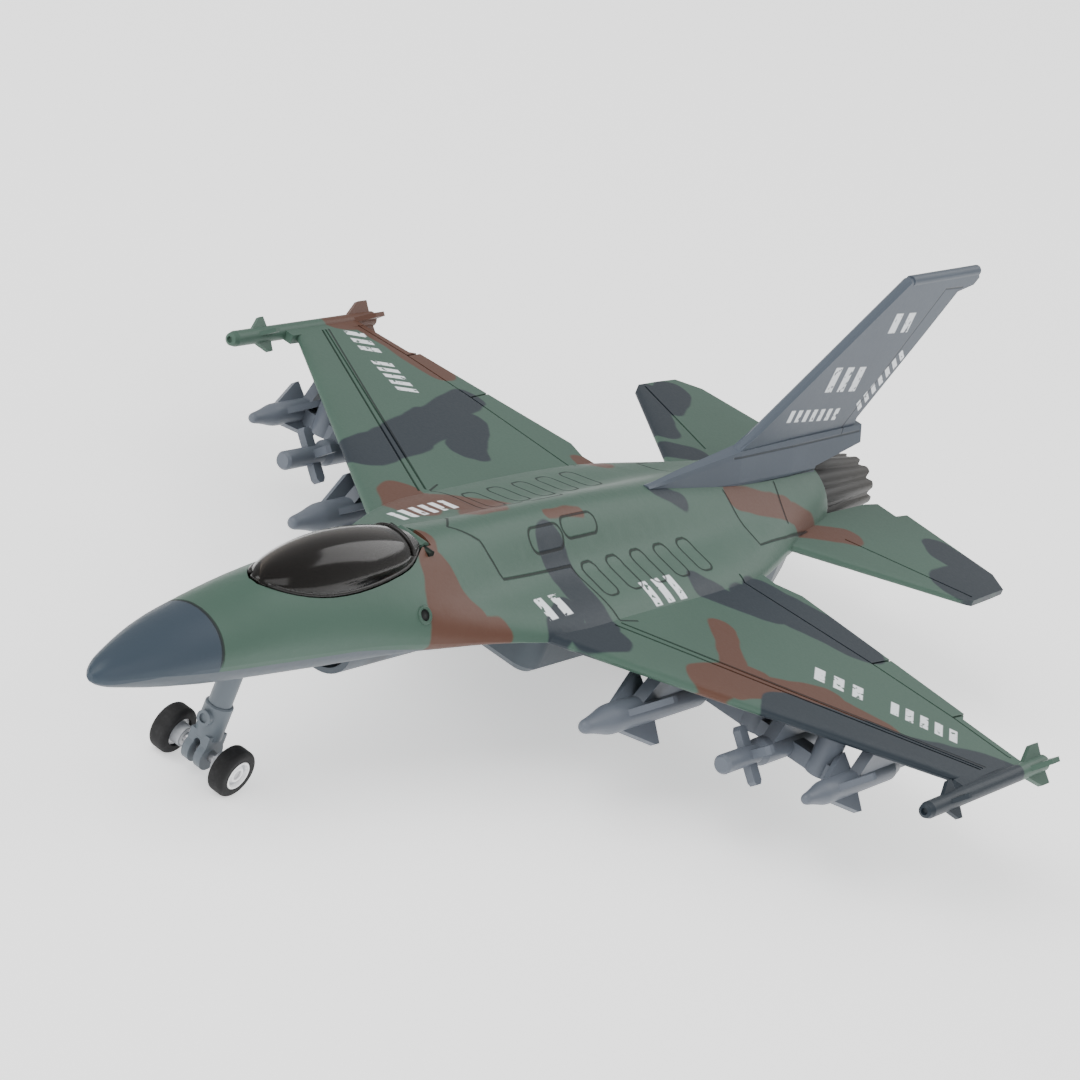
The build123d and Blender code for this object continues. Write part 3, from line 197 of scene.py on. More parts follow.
class Finish:
    """Nodes of one material, ending in a Principled shader."""

    def __init__(self, name):
        self.material = bpy.data.materials.new(name)
        self.material.use_nodes = True
        self.tree = self.material.node_tree
        self.tree.nodes.clear()
        place = self.node("ShaderNodeTexCoord", out="Object")
        self.place = self.vector("SCALE", place, {3: 1 / MM})
        self.x, self.y, self.z = (self.part(self.place, axis) for axis in range(3))

    def node(self, kind, settings=None, sockets=None, out=0):
        """Any node: its settings first, then the values or links of its sockets."""
        made = self.tree.nodes.new(kind)
        for name, value in (settings or {}).items():
            setattr(made, name, value)
        for key, value in (sockets or {}).items():
            socket = made.inputs[key]
            if isinstance(value, Value):
                self.tree.links.new(value.socket, socket)
            elif socket.type == "RGBA" and len(value) == 3:
                socket.default_value = tuple(value) + (1.0,)
            else:
                socket.default_value = value
        return Value(self, made.outputs[out])

    def part(self, vector, axis):
        """One component of a vector."""
        return self.node("ShaderNodeSeparateXYZ", {}, {0: vector}, out=axis)

    def upwards(self):
        """How far the surface faces up, from -1 to 1."""
        return self.part(self.node("ShaderNodeNewGeometry", out="Normal"), 2)

    def vector(self, operation, first, others, out=0):
        """Vector Math node."""
        return self.node("ShaderNodeVectorMath", {"operation": operation}, {0: first, **others}, out=out)

    def mix(self, factor, first, second):
        """Mix of two colours."""
        return self.node("ShaderNodeMix", {"data_type": "RGBA"}, {0: factor, 6: first, 7: second}, out=2)

    def noise(self, scale, detail=2.0, place=None):
        """Noise from 0 to 1; the scale is in features per millimetre."""
        sockets = {"Vector": place or self.place, "Scale": scale, "Detail": detail}
        return self.node("ShaderNodeTexNoise", {}, sockets)

    def flat(self, x, y):
        """Point in a plane as a vector."""
        return self.node("ShaderNodeCombineXYZ", {}, {0: x, 1: y})

    def inside(self, distance, soft):
        """1 where a distance is below zero, fading out over a soft edge."""
        sockets = {0: distance, 1: soft, 2: -soft, 3: 0.0, 4: 1.0}
        return self.node("ShaderNodeMapRange", {"interpolation_type": "SMOOTHSTEP"}, sockets)

    def ramp(self, value, start, end):
        """0 to 1 between two values, smoothly."""
        sockets = {0: value, 1: start, 2: end, 3: 0.0, 4: 1.0}
        return self.node("ShaderNodeMapRange", {"interpolation_type": "SMOOTHSTEP"}, sockets)

    def reach(self, place, start, end):
        """Distance from a place to the stroke between two points."""
        start, end = Vector((*start, 0.0)), Vector((*end, 0.0))
        run = end - start
        offset = self.vector("SUBTRACT", place, {1: start})
        share = self.vector("DOT_PRODUCT", offset, {1: run / run.length_squared}, out=1)
        share = share.high(0.0).low(1.0)
        foot = self.vector("SCALE", tuple(run), {3: share})
        return self.vector("DISTANCE", offset, {1: foot}, out=1)

    def strokes(self, place, rows):
        """Distance to the edge of a shape made of thick strokes: each row is start, end and radius."""
        edge = None
        for start, end, radius in rows:
            distance = self.reach(place, start, end) - radius
            edge = distance if edge is None else edge.low(distance)
        return edge

    def polyline(self, place, lines):
        """Distance to the nearest of several thin lines."""
        rows = [(a, b, 0.0) for line in lines for a, b in zip(line, line[1:])]
        return self.strokes(place, rows)

    def panel(self, place, half_length, half_width, corner):
        """Distance to the outline of a rounded panel centred on a place."""
        inner = (half_length - corner, half_width - corner, 0.0)
        offset = self.vector("SUBTRACT", self.vector("ABSOLUTE", place, {}), {1: inner})
        outside = self.vector("MAXIMUM", offset, {1: (0.0, 0.0, 0.0)})
        return abs(self.vector("LENGTH", outside, {}, out=1) - corner)

    def bars(self, place, start, end, width, count, share=0.62):
        """Row of plain bars across the stroke between two points."""
        start, end = Vector((*start, 0.0)), Vector((*end, 0.0))
        run = (end - start).normalized()
        across = Vector((-run.y, run.x, 0.0))
        offset = self.vector("SUBTRACT", place, {1: start})
        travel = self.vector("DOT_PRODUCT", offset, {1: run}, out=1)
        side = abs(self.vector("DOT_PRODUCT", offset, {1: across}, out=1))
        pitch = (end - start).length / count
        middle = (travel / pitch).math("FRACT") - share / 2
        bar = self.inside(abs(middle) - share / 2 + 0.04, 0.04)
        ends = self.inside(abs(travel - pitch * count / 2) - pitch * count / 2, 0.06)
        return bar * ends * self.inside(side - width / 2, 0.12)

    def markings(self, place, rows):
        """Several rows of bars together."""
        marks = None
        for start, end, width, count in rows:
            mark = self.bars(place, start, end, width, count)
            marks = mark if marks is None else marks.high(mark)
        return marks

    def close(self, color, roughness, height=None, bump=0.2, depth=0.1, **constants):
        """Principled shader with an optional bump, joined to the output."""
        sockets = {"Base Color": color, "Roughness": roughness, "Specular IOR Level": 0.28}
        if height is not None:
            bumped = {"Height": height, "Strength": bump, "Distance": depth * MM}
            sockets["Normal"] = self.node("ShaderNodeBump", {}, bumped)
        sockets.update({key.replace("_", " "): value for key, value in constants.items()})
        shader = self.node("ShaderNodeBsdfPrincipled", {}, sockets)
        return self.output(shader)

    def output(self, shader):
        """Joins a shader to the output and hands back the material."""
        made = self.tree.nodes.new("ShaderNodeOutputMaterial")
        self.tree.links.new(shader.socket, made.inputs["Surface"])
        return self.material


# ---- paint shapes, mm from above: start, end and radius of thick strokes ----
BROWN = [
    ((1.5, -40.6), (11.0, -44.6), 2.4), ((12.2, -44.2), (15.2, -34.2), 2.6),
    ((6.0, -41.0), (12.0, -38.0), 3.0),
    ((1.6, -9.0), (2.2, -1.0), 0.9),
    ((35.0, -5.0), (37.5, 3.0), 4.0), ((38.0, -2.5), (40.5, 4.0), 2.6), ((40.5, 5.0), (45.5, 13.0), 3.4),
    ((46.0, 13.0), (55.0, 16.2), 2.6), ((26.0, 11.0), (34.0, 2.5), 2.2),
    ((4.0, 43.5), (8.0, 56.0), 2.4), ((9.6, 58.0), (14.6, 68.0), 2.6),
    ((-14.5, -18.5), (-19.5, -13.8), 4.2), ((-14.5, -12.0), (-9.0, -5.5), 3.4),
    ((-3.4, -22.0), (-3.6, -17.0), 2.4),
    ((-8.0, -12.0), (-4.5, -15.5), 2.4),
    ((-67.5, 36.5), (-50.0, 35.5), 3.2), ((-69.8, 31.0), (-70.2, 44.0), 3.4),
    ((-19.0, 34.4), (-15.0, 33.8), 2.0),
]
SLATE = [
    ((5.5, -11.6), (19.0, -12.6), 3.2), ((20.2, -18.0), (21.6, -14.0), 3.4),
    ((15.5, -17.5), (17.5, -22.0), 2.6),
    ((47.5, 2.5), (64.0, 16.5), 6.6), ((62.0, 15.0), (70.5, 27.0), 6.4), ((45.5, 1.0), (50.0, 6.0), 3.4),
    ((70.0, 2.0), (70.0, 29.0), 4.5),
    ((17.0, 17.4), (26.0, 25.6), 2.7), ((22.0, 26.5), (38.0, 35.0), 4.2), ((20.5, 31.0), (37.0, 38.0), 3.4),
    ((31.5, 77.0), (31.5, 88.0), 4.6), ((24.0, 86.5), (31.0, 87.5), 4.4), ((0.6, 22.5), (3.4, 27.4), 1.6),
    ((-32.0, -8.0), (-33.5, 5.0), 4.6), ((-34.0, 6.0), (-36.5, 17.0), 4.6),
    ((-27.0, 13.0), (-35.0, 24.0), 3.4),
    ((-37.5, 18.0), (-41.5, 32.0), 3.2), ((-17.5, 57.5), (-14.0, 62.0), 3.0),
    ((-22.5, 64.0), (-34.0, 76.0), 3.2),
    ((-28.5, 74.0), (-32.5, 82.0), 3.6),
]
# Engraved lines of one side, mm from above; the casting mirrors them
CASTING_LINES = [
    [(19.6, -9.9), (67.4, 24.9)], [(19.6, -8.2), (67.4, 26.6)],
    [(17.0, 29.2), (28.0, 31.0), (41.5, 33.2), (56.5, 34.8), (67.4, 35.0)],
    [(41.5, 33.2), (42.0, 40.0)], [(56.5, 34.8), (56.8, 40.0)],
    [(0.0, -33.0), (3.2, -28.4), (8.0, -26.0), (8.3, -8.6), (19.0, -7.8), (20.0, -4.6)],
    [(3.0, 41.0), (12.8, 41.0), (12.2, 50.0), (10.9, 60.0)], [(3.4, 56.6), (10.0, 53.6)],
    [(15.0, 66.5), (35.0, 77.0)],
]
VENT_FIRST, VENT_PITCH, VENT_LAST = (11.6, -4.6), 6.7, 4
VENT_SIZE = (3.3, 1.8, 1.3)     # half length, half width, corner
HATCHES = [((4.6, -15.0), (4.6, -9.4), 1.5), ((3.9, -6.0), (3.9, 0.4), 1.4)]
RADOME_END = -86.9
# Bars in place of lettering: start, end, width, count
CASTING_BARS = [
    ((14.0, -23.0), (14.0, -15.4), 4.0, 2), ((16.2, 2.8), (16.2, 13.2), 4.4, 3),
    ((39.8, 17.6), (48.0, 22.3), 4.2, 3), ((50.8, 23.9), (61.4, 29.9), 4.2, 5),
    ((-12.8, -25.6), (-12.8, -10.4), 3.2, 6), ((-65.8, 31.4), (-58.0, 27.5), 4.0, 3),
    ((-55.6, 26.2), (-45.0, 20.9), 4.0, 5),
]
FIN_BARS = [
    ((66.4, 46.0), (79.2, 44.8), 4.6, 3), ((79.8, 55.2), (89.0, 54.6), 3.7, 2),
    ((81.0, 39.0), (89.8, 49.2), 2.5, 7),
    ((57.4, 40.2), (75.8, 38.5), 2.2, 7),
]
FIN_LINES = [[(77.9, 34.8), (94.4, 60.4)], [(94.4, 60.4), (100.6, 60.2)], [(44.0, 34.4), (84.0, 34.6)],
             [(50.0, 29.6), (82.0, 30.2)]]


# ---- materials ----
def settings(name):
    """One of the scene's settings groups."""
    return getattr(bpy.context.scene, name)


def casting_paint():
    """Camouflage over the casting, with dark engraved lines and plain white bars."""
    paint = settings("jet_paint")
    finish = Finish("camouflage_paint")
    wander = finish.noise(0.16, 1.0) - 0.5
    ripple = finish.noise(0.21, 1.0, finish.vector("ADD", finish.place, {1: (40.0, 0.0, 0.0)})) - 0.5
    warped = finish.flat(finish.x + wander * 1.6, finish.y + ripple * 1.6)
    place = finish.flat(finish.x, finish.y)
    twin = finish.flat(abs(finish.x), finish.y)
    tone = finish.noise(0.05, 3.0)
    green = finish.mix(tone, paint.green, shade(paint.green, 1.18))
    color = finish.mix(finish.inside(finish.strokes(warped, BROWN), 0.25), green, paint.brown)
    color = finish.mix(finish.inside(finish.strokes(warped, SLATE), 0.25), color, paint.slate)
    color = finish.mix(finish.inside(finish.y - RADOME_END, 0.12), color, paint.radome)
    half = paint.line_width / MM / 2
    distance = finish.polyline(twin, CASTING_LINES)
    row = ((finish.y - VENT_FIRST[1]) / VENT_PITCH).math("ROUND").high(0.0).low(float(VENT_LAST))
    vent = finish.flat(abs(finish.x) - VENT_FIRST[0], finish.y - VENT_FIRST[1] - row * VENT_PITCH)
    distance = distance.low(finish.panel(vent, *VENT_SIZE))
    distance = distance.low(abs(finish.strokes(twin, HATCHES)))
    distance = distance.low(abs(finish.y - RADOME_END) - 0.1)
    top = finish.ramp(finish.upwards(), 0.0, 0.25)
    line = finish.inside(distance - half, 0.1) * top
    bars = finish.markings(place, CASTING_BARS)
    chips = finish.ramp(finish.noise(0.9, 4.0), 0.36, 0.42)
    color = finish.mix(bars * top * chips, color, paint.marking)
    color = finish.mix(line * 0.8, color, paint.line)
    grain = finish.noise(2.2, 3.0)
    roughness = 0.40 + grain * 0.12 + line * 0.15
    height = grain * 0.10 - line
    return finish.close(color, roughness, height, bump=0.45, depth=0.22)


def moulded(name, tint, roughness=0.42, variation=0.12, grain=1.6, **constants):
    """Moulded plastic: slight tone changes, a fine texture and uneven gloss."""
    finish = Finish(name)
    tone = finish.noise(0.07, 3.0)
    color = finish.mix(tone, shade(tint, 1 - variation), shade(tint, 1 + variation))
    texture = finish.noise(grain, 4.0)
    return finish.close(color, roughness - 0.05 + texture * 0.1, texture, bump=0.12, depth=0.05, **constants)


def shell_plastic():
    """Underside plastic with the belly's panel lines and painted shade at the intake mouth."""
    finish = Finish("underside_plastic")
    tint = settings("jet_plastic").shell
    tone = finish.noise(0.06, 3.0)
    color = finish.mix(tone, shade(tint, 0.9), shade(tint, 1.1))
    twin = finish.flat(abs(finish.x), finish.y)
    lines = [[(0.0, -14.0), (11.0, -14.0), (11.0, 20.0), (0.0, 20.0)], [(0.0, 46.0), (9.5, 46.0)],
             [(0.0, -62.0), (7.0, -62.0)], [(3.4, -80.0), (3.4, -66.0)], [(0.0, -80.0), (3.4, -80.0)]]
    line = finish.inside(finish.polyline(twin, lines) - 0.18, 0.1) * finish.inside(finish.upwards() + 0.2, 0.1)
    # Painted shade: a dark grey band across the intake mouth stands in for the shade inside the duct.
    intake_shade_reach = finish.inside(abs(finish.x) - 5.6, 0.3) * finish.inside(abs(finish.y + 47.0) - 2.4, 1.2)
    color = finish.mix(line * 0.7, color, shade(tint, 0.25))
    intake_painted_shade = intake_shade_reach * 0.5 * finish.inside(abs(finish.z - 18.9) - 4.8, 0.3)
    color = finish.mix(intake_painted_shade, color, screen(40, 42, 45))
    texture = finish.noise(1.4, 4.0)
    return finish.close(color, 0.42 + texture * 0.1, texture * 0.15 - line, bump=0.4, depth=0.18)


def fin_plastic():
    """Fin plastic with the rudder line and plain white bars."""
    finish = Finish("fin_plastic_paint")
    tint = settings("jet_plastic").fin
    tone = finish.noise(0.07, 3.0)
    color = finish.mix(tone, shade(tint, 0.92), shade(tint, 1.1))
    side = finish.flat(finish.y, finish.z)
    line = finish.inside(finish.polyline(side, FIN_LINES) - 0.17, 0.09)
    bars = finish.markings(side, FIN_BARS)
    worn = finish.ramp(finish.noise(0.9, 4.0), 0.34, 0.42)
    color = finish.mix(bars * worn, color, settings("jet_paint").marking)
    color = finish.mix(line * 0.75, color, shade(tint, 0.2))
    texture = finish.noise(1.6, 4.0)
    return finish.close(color, 0.4 + texture * 0.1, texture * 0.12 - line, bump=0.4, depth=0.18)


def nozzle_plastic():
    """Exhaust nozzle: dark and streaky at the ring, paler towards the petal tips."""
    finish = Finish("nozzle_plastic_paint")
    tint = settings("jet_plastic").nozzle
    first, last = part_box("exhaust_nozzle")
    streak = finish.noise(0.5, 4.0, finish.vector("MULTIPLY", finish.place, {1: (1.0, 0.12, 1.0)}))
    along = finish.ramp(finish.y, first.y / MM + 6, last.y / MM)
    color = finish.mix(streak, shade(tint, 0.75), shade(tint, 1.35))
    color = finish.mix(along * 0.16, color, screen(116, 112, 106))
    return finish.close(color, 0.38 + streak * 0.15, streak, bump=0.25, depth=0.12)


def tyre_rubber():
    """Rubber with a fine texture and faint dust on the tread."""
    finish = Finish("tyre_rubber_black")
    tint = settings("jet_plastic").tyre
    dust = finish.ramp(finish.noise(0.8, 5.0), 0.45, 0.8)
    color = finish.mix(dust * 0.35, tint, shade(tint, 2.6, 0.01))
    grain = finish.noise(3.5, 4.0)
    return finish.close(color, 0.62 + grain * 0.15, grain, bump=0.25, depth=0.08)


def hub_plastic(axle_y, axle_z, inner, outer):
    """Glossy white wheel centre with a grey recessed ring."""
    finish = Finish("hub_plastic_white")
    tint = settings("jet_plastic").hub
    centre = finish.flat(finish.y, finish.z)
    radius = finish.vector("DISTANCE", centre, {1: (axle_y, axle_z, 0.0)}, out=1)
    ring = finish.inside(abs(radius - (inner + outer) / 2) - (outer - inner) / 2, 0.06)
    tone = finish.noise(0.4, 2.0)
    color = finish.mix(tone, tint, shade(tint, 0.93))
    color = finish.mix(ring * 0.85, color, screen(150, 154, 160))
    return finish.close(color, 0.22 + tone * 0.12, tone, bump=0.08, depth=0.05, Coat_Weight=0.3)


def steel(name, tint, roughness):
    """Drawn steel with fine scratches along its length."""
    finish = Finish(name)
    scratch = finish.noise(3.0, 4.0, finish.vector("MULTIPLY", finish.place, {1: (0.15, 1.0, 1.0)}))
    color = finish.mix(scratch, shade(tint, 0.8), tint)
    return finish.close(color, roughness + scratch * 0.15, scratch, bump=0.15, depth=0.04, Metallic=1.0)


def smoked_plastic():
    """Smoked clear plastic that turns opaque at the canopy's rear band."""
    canopy = settings("jet_canopy")
    finish = Finish("smoked_canopy_plastic")
    first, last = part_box("canopy")
    haze = finish.noise(0.4, 3.0)
    tint = finish.mix(haze, canopy.tint, shade(canopy.tint, 0.85))
    clear = finish.node("ShaderNodeBsdfPrincipled", {}, {
        "Base Color": tint, "Roughness": 0.1 + haze * 0.04, "Transmission Weight": 0.92, "IOR": 1.36})
    frame_tone = finish.mix(haze, canopy.frame, shade(canopy.frame, 1.5))
    solid = finish.node("ShaderNodeBsdfPrincipled", {}, {
        "Base Color": frame_tone, "Roughness": 0.2 + haze * 0.1})
    band = finish.ramp(finish.y, last.y / MM - 6.2, last.y / MM - 5.4)
    edge = finish.inside(finish.z - first.z / MM - 1.2, 0.2)
    both = finish.node("ShaderNodeMixShader", {}, {0: band.high(edge) * 0.92, 1: clear, 2: solid})
    return finish.output(both)


# ---- mesh helpers ----
def piece(name, points, faces, material, body, slot, smooth=True):
    """Object made of points in metres and faces, riding on a body."""
    mesh = bpy.data.meshes.new(name)
    mesh.from_pydata([tuple(p) for p in points], [], faces)
    mesh.update()
    mesh.polygons.foreach_set("use_smooth", [smooth] * len(mesh.polygons))
    mesh.materials.append(material)
    made = bpy.data.objects.new(name, mesh)
    bpy.context.scene.collection.objects.link(made)
    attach(made, body)
    return made


def tube(path, radius, sides=10, closed=False):
    """Points and faces of a round tube along a path."""
    path = [Vector(p) for p in path]
    count = len(path)
    points, faces = [], []
    for k, spot in enumerate(path):
        before = path[(k - 1) % count] if closed or k else spot
        after = path[(k + 1) % count] if closed or k < count - 1 else spot
        along = (after - before).normalized()
        across = along.cross(Vector((0, 0, 1)))
        across = across.normalized() if across.length > 0.05 else along.cross(Vector((1, 0, 0))).normalized()
        upward = across.cross(along)
        for side in range(sides):
            angle = 2 * pi * side / sides
            points.append(spot + (across * cos(angle) + upward * sin(angle)) * radius)
    for k in range(count if closed else count - 1):
        a, b = k * sides, (k + 1) % count * sides
        faces += [(a + s, a + (s + 1) % sides, b + (s + 1) % sides, b + s) for s in range(sides)]
    if not closed:
        faces += [tuple(range(sides))[::-1], tuple(range((count - 1) * sides, count * sides))]
    return points, faces


def turned(profile, place, turn, sides=40):
    """Points and faces of a closed profile of (radius, height) turned about its axis."""
    points, faces = [], []
    count = len(profile)
    for step in range(sides):
        angle = 2 * pi * step / sides
        for radius, height in profile:
            points.append(place + turn @ Vector((radius * cos(angle), radius * sin(angle), height)))
    for step in range(sides):
        a, b = step * count, (step + 1) % sides * count
        faces += [(a + k, b + k, b + (k + 1) % count, a + (k + 1) % count) for k in range(count)]
    return points, faces


def rounded(low, high, crown, steps=8):
    """Points and faces of a soft-edged moulded block between two corners."""
    middle, half = (low + high) / 2, (high - low) / 2
    points, faces = [], []
    for row in range(steps + 1):
        for column in range(2 * steps):
            up = pi * (row / steps - 0.5)
            turn = pi * column / steps
            direction = Vector((cos(up) * cos(turn), cos(up) * sin(turn), sin(up)))
            shaped = Vector([abs(c) ** crown * (1 if c >= 0 else -1) for c in direction])
            points.append(middle + Vector((shaped.x * half.x, shaped.y * half.y, shaped.z * half.z)))
    for row in range(steps):
        for column in range(2 * steps):
            a, b = row * 2 * steps, (row + 1) * 2 * steps
            ahead = (column + 1) % (2 * steps)
            faces.append((a + column, a + ahead, b + ahead, b + column))
    return points, faces


def surface(node):
    """Search tree of a CAD node's mesh."""
    mesh = NODES[node].data
    return BVHTree.FromPolygons([v.co for v in mesh.vertices], [tuple(p.vertices) for p in mesh.polygons])


def cut_behind(node, name, start, material, body, slot):
    """The part of a CAD node that lies wholly behind a place, as a piece of its own."""
    mesh = NODES[node].data
    kept = [p.vertices for p in mesh.polygons if all(mesh.vertices[k].co.y >= start for k in p.vertices)]
    order = {old: new for new, old in enumerate(sorted({k for face in kept for k in face}))}
    points = [mesh.vertices[k].co.copy() for k in order]
    return piece(name, points, [tuple(order[k] for k in face) for face in kept], material, body, slot, False)


def evened(rows, passes=3):
    """Table of lengths with each one drawn towards its neighbours."""
    for _ in range(passes):
        before = [row[:] for row in rows]
        for k in range(1, len(rows) - 1):
            for j in range(1, len(rows[k]) - 1):
                near = (before[k - 1][j], before[k + 1][j], before[k][j - 1], before[k][j + 1], before[k][j])
                rows[k][j] = sum(near) / len(near)
    return rows


def bubble(skin, low, rear, wall, rows=44, columns=30):
    """Points and faces of a smooth clear bubble with an open foot, cast onto the moulded canopy."""
    heart = low.z + SILL
    span = rear - low.y - 2 * END_MARGIN
    stations = [low.y + END_MARGIN + span * (1 - cos(pi * k / rows)) / 2 for k in range(rows + 1)]
    ways = [Vector((cos(pi * k / columns), 0.0, sin(pi * k / columns))) for k in range(columns + 1)]
    reaches = []
    for y in stations:
        centre = Vector((0.0, y, heart))
        hits = [skin.ray_cast(centre + way * 0.03, -way)[0] for way in ways]
        reaches.append([(hit - centre).length for hit in hits])
    reaches = evened(reaches)
    middle = (low.y + rear) / 2
    shrink = 1 - 2 * wall / (rear - low.y)
    points = []
    for inward in (0.0, wall):
        for y, row in zip(stations, reaches):
            place = middle + (y - middle) * shrink if inward else y
            arc = [Vector((0.0, place, heart)) + way * max(r - inward, 0.3 * r) for way, r in zip(ways, row)]
            points += [Vector((arc[0].x, place, low.z)), *arc, Vector((arc[-1].x, place, low.z))]
    sides = columns + 3
    inner = sides * (rows + 1)
    faces = []
    for shift in (0, inner):
        for row in range(rows):
            a, b = shift + row * sides, shift + (row + 1) * sides
            faces += [(a + k, b + k, b + k + 1, a + k + 1) for k in range(sides - 1)]
        for end in (shift, shift + rows * sides):
            faces.append(tuple(range(end, end + sides)))
    for edge in (0, sides - 1):
        for row in range(rows):
            a, b = edge + row * sides, edge + (row + 1) * sides
            faces.append((a, b, b + inner, a + inner))
    for end in (0, rows * sides):
        faces.append((end, end + sides - 1, end + sides - 1 + inner, end + inner))
    return points, faces


def outward(made):
    """Turns every face of a closed piece outwards and keeps its corners crisp."""
    turned_mesh = bmesh.new()
    turned_mesh.from_mesh(made.data)
    bmesh.ops.recalc_face_normals(turned_mesh, faces=turned_mesh.faces)
    turned_mesh.to_mesh(made.data)
    turned_mesh.free()
    made.data.set_sharp_from_angle(angle=radians(35))
    return made


def dress(node, material):
    """Gives a CAD node one material."""
    slots = NODES[node].data.materials
    slots.clear()
    slots.append(material)


class JetOperator(bpy.types.Operator):
    """Base of the jet's operators."""
    bl_options = {"REGISTER", "UNDO"}


class JET_OT_casting(JetOperator):
    """Paint the metal casting in camouflage"""
    bl_idname = "jet.casting"
    bl_label = "Upper casting"

    def execute(self, context):
        dress("upper_casting", casting_paint())
        return {"FINISHED"}


class JET_OT_underside(JetOperator):
    """Finish the plastic underside"""
    bl_idname = "jet.underside"
    bl_label = "Lower shell"

    def execute(self, context):
        dress("lower_shell", shell_plastic())
        return {"FINISHED"}


class JET_OT_fin(JetOperator):
    """Finish the tail fin"""
    bl_idname = "jet.fin"
    bl_label = "Tail fin"

    def execute(self, context):
        dress("tail_fin", fin_plastic())
        return {"FINISHED"}


class JET_OT_nozzle(JetOperator):
    """Finish the exhaust nozzle and add the spray ring inside it"""
    bl_idname = "jet.nozzle"
    bl_label = "Exhaust nozzle"

    def execute(self, context):
        material = nozzle_plastic()
        dress("exhaust_nozzle", material)
        low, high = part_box("exhaust_nozzle")
        middle = (low + high) / 2
        turn = Matrix.Rotation(radians(-90), 3, "X")
        for name, radius in (("flame_ring_outer", 3.6 * MM), ("flame_ring_inner", 1.8 * MM)):
            wire = FLAME_RING_WIRE
            profile = [(radius + wire * cos(a), wire * sin(a)) for a in (2 * pi * k / 8 for k in range(8))]
            place = Vector((0.0, low.y + FLAME_RING_DEPTH, middle.z))
            points, faces = turned(profile, place, turn)
            piece(name, points, faces, material, BODY, "nozzle_plastic")
        return {"FINISHED"}


class JET_OT_stores(JetOperator):
    """Finish the stores racks under both wings"""
    bl_idname = "jet.stores"
    bl_label = "Stores racks"

    def execute(self, context):
        material = moulded("stores_plastic_grey", settings("jet_plastic").stores, 0.4)
        for side in ("port", "starboard"):
            dress(f"{side}_stores_rack", material)
        return {"FINISHED"}


class JET_OT_canopy(JetOperator):
    """Clear canopy with its edge bead and the raised rib at the rear band"""
    bl_idname = "jet.canopy"
    bl_label = "Canopy"

    def execute(self, context):
        low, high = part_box("canopy")
        skin, roof = surface("canopy"), surface("upper_casting")
        rear = high.y - KNUCKLE_RADIUS - KNUCKLE_REACH
        points, faces = bubble(skin, low, rear, CANOPY_WALL)
        glazing = piece("canopy_glazing", points, faces, smoked_plastic(), "canopy", "smoked_plastic")
        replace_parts(outward(glazing), "canopy")
        painted = moulded("hinge_paint_green", settings("jet_paint").green, 0.45)
        cut_behind("canopy", "canopy_knuckle", rear - 0.01 * MM, painted, "canopy", "smoked_plastic")
        dress("canopy_pin", steel("hinge_steel_blackened", (0.03, 0.04, 0.035), 0.5))
        bead_finish = moulded("canopy_frame_plastic", settings("jet_canopy").frame, 0.28)
        radius = settings("jet_canopy").bead
        end = rear - 0.6 * MM
        stations = 20
        port = []
        for k in range(1, stations):
            y = low.y + (end - low.y) * (1 - cos(pi * k / stations)) / 2
            edge = skin.ray_cast(Vector((0.05, y, low.z + SILL)), Vector((-1, 0, 0)))[0]
            deck = edge and roof.ray_cast(Vector((edge.x + 0.5 * MM, y, 0.06)), Vector((0, 0, -1)))[0]
            if deck:
                port.append(Vector((edge.x - radius * 0.2, y, deck.z + radius * 0.9)))
        path = port + [Vector((-p.x, p.y, p.z)) for p in reversed(port)]
        points, faces = tube(path, radius, closed=False)
        piece("canopy_bead", points, faces, bead_finish, "canopy", "smoked_plastic")
        rib_y = rear - CANOPY_RIB_SETBACK
        sill = port[-1].z
        arch = []
        for k in range(25):
            angle = pi * k / 24
            centre = Vector((0.0, rib_y, sill - 1.0 * MM))
            out = Vector((cos(angle), 0.0, sin(angle)))
            hit = skin.ray_cast(centre + out * 0.05, -out)[0]
            if hit and hit.z > sill:
                arch.append(hit + out * 0.1 * MM)
        points, faces = tube(arch, CANOPY_RIB_RADIUS)
        piece("canopy_rib", points, faces, bead_finish, "canopy", "smoked_plastic")
        return {"FINISHED"}


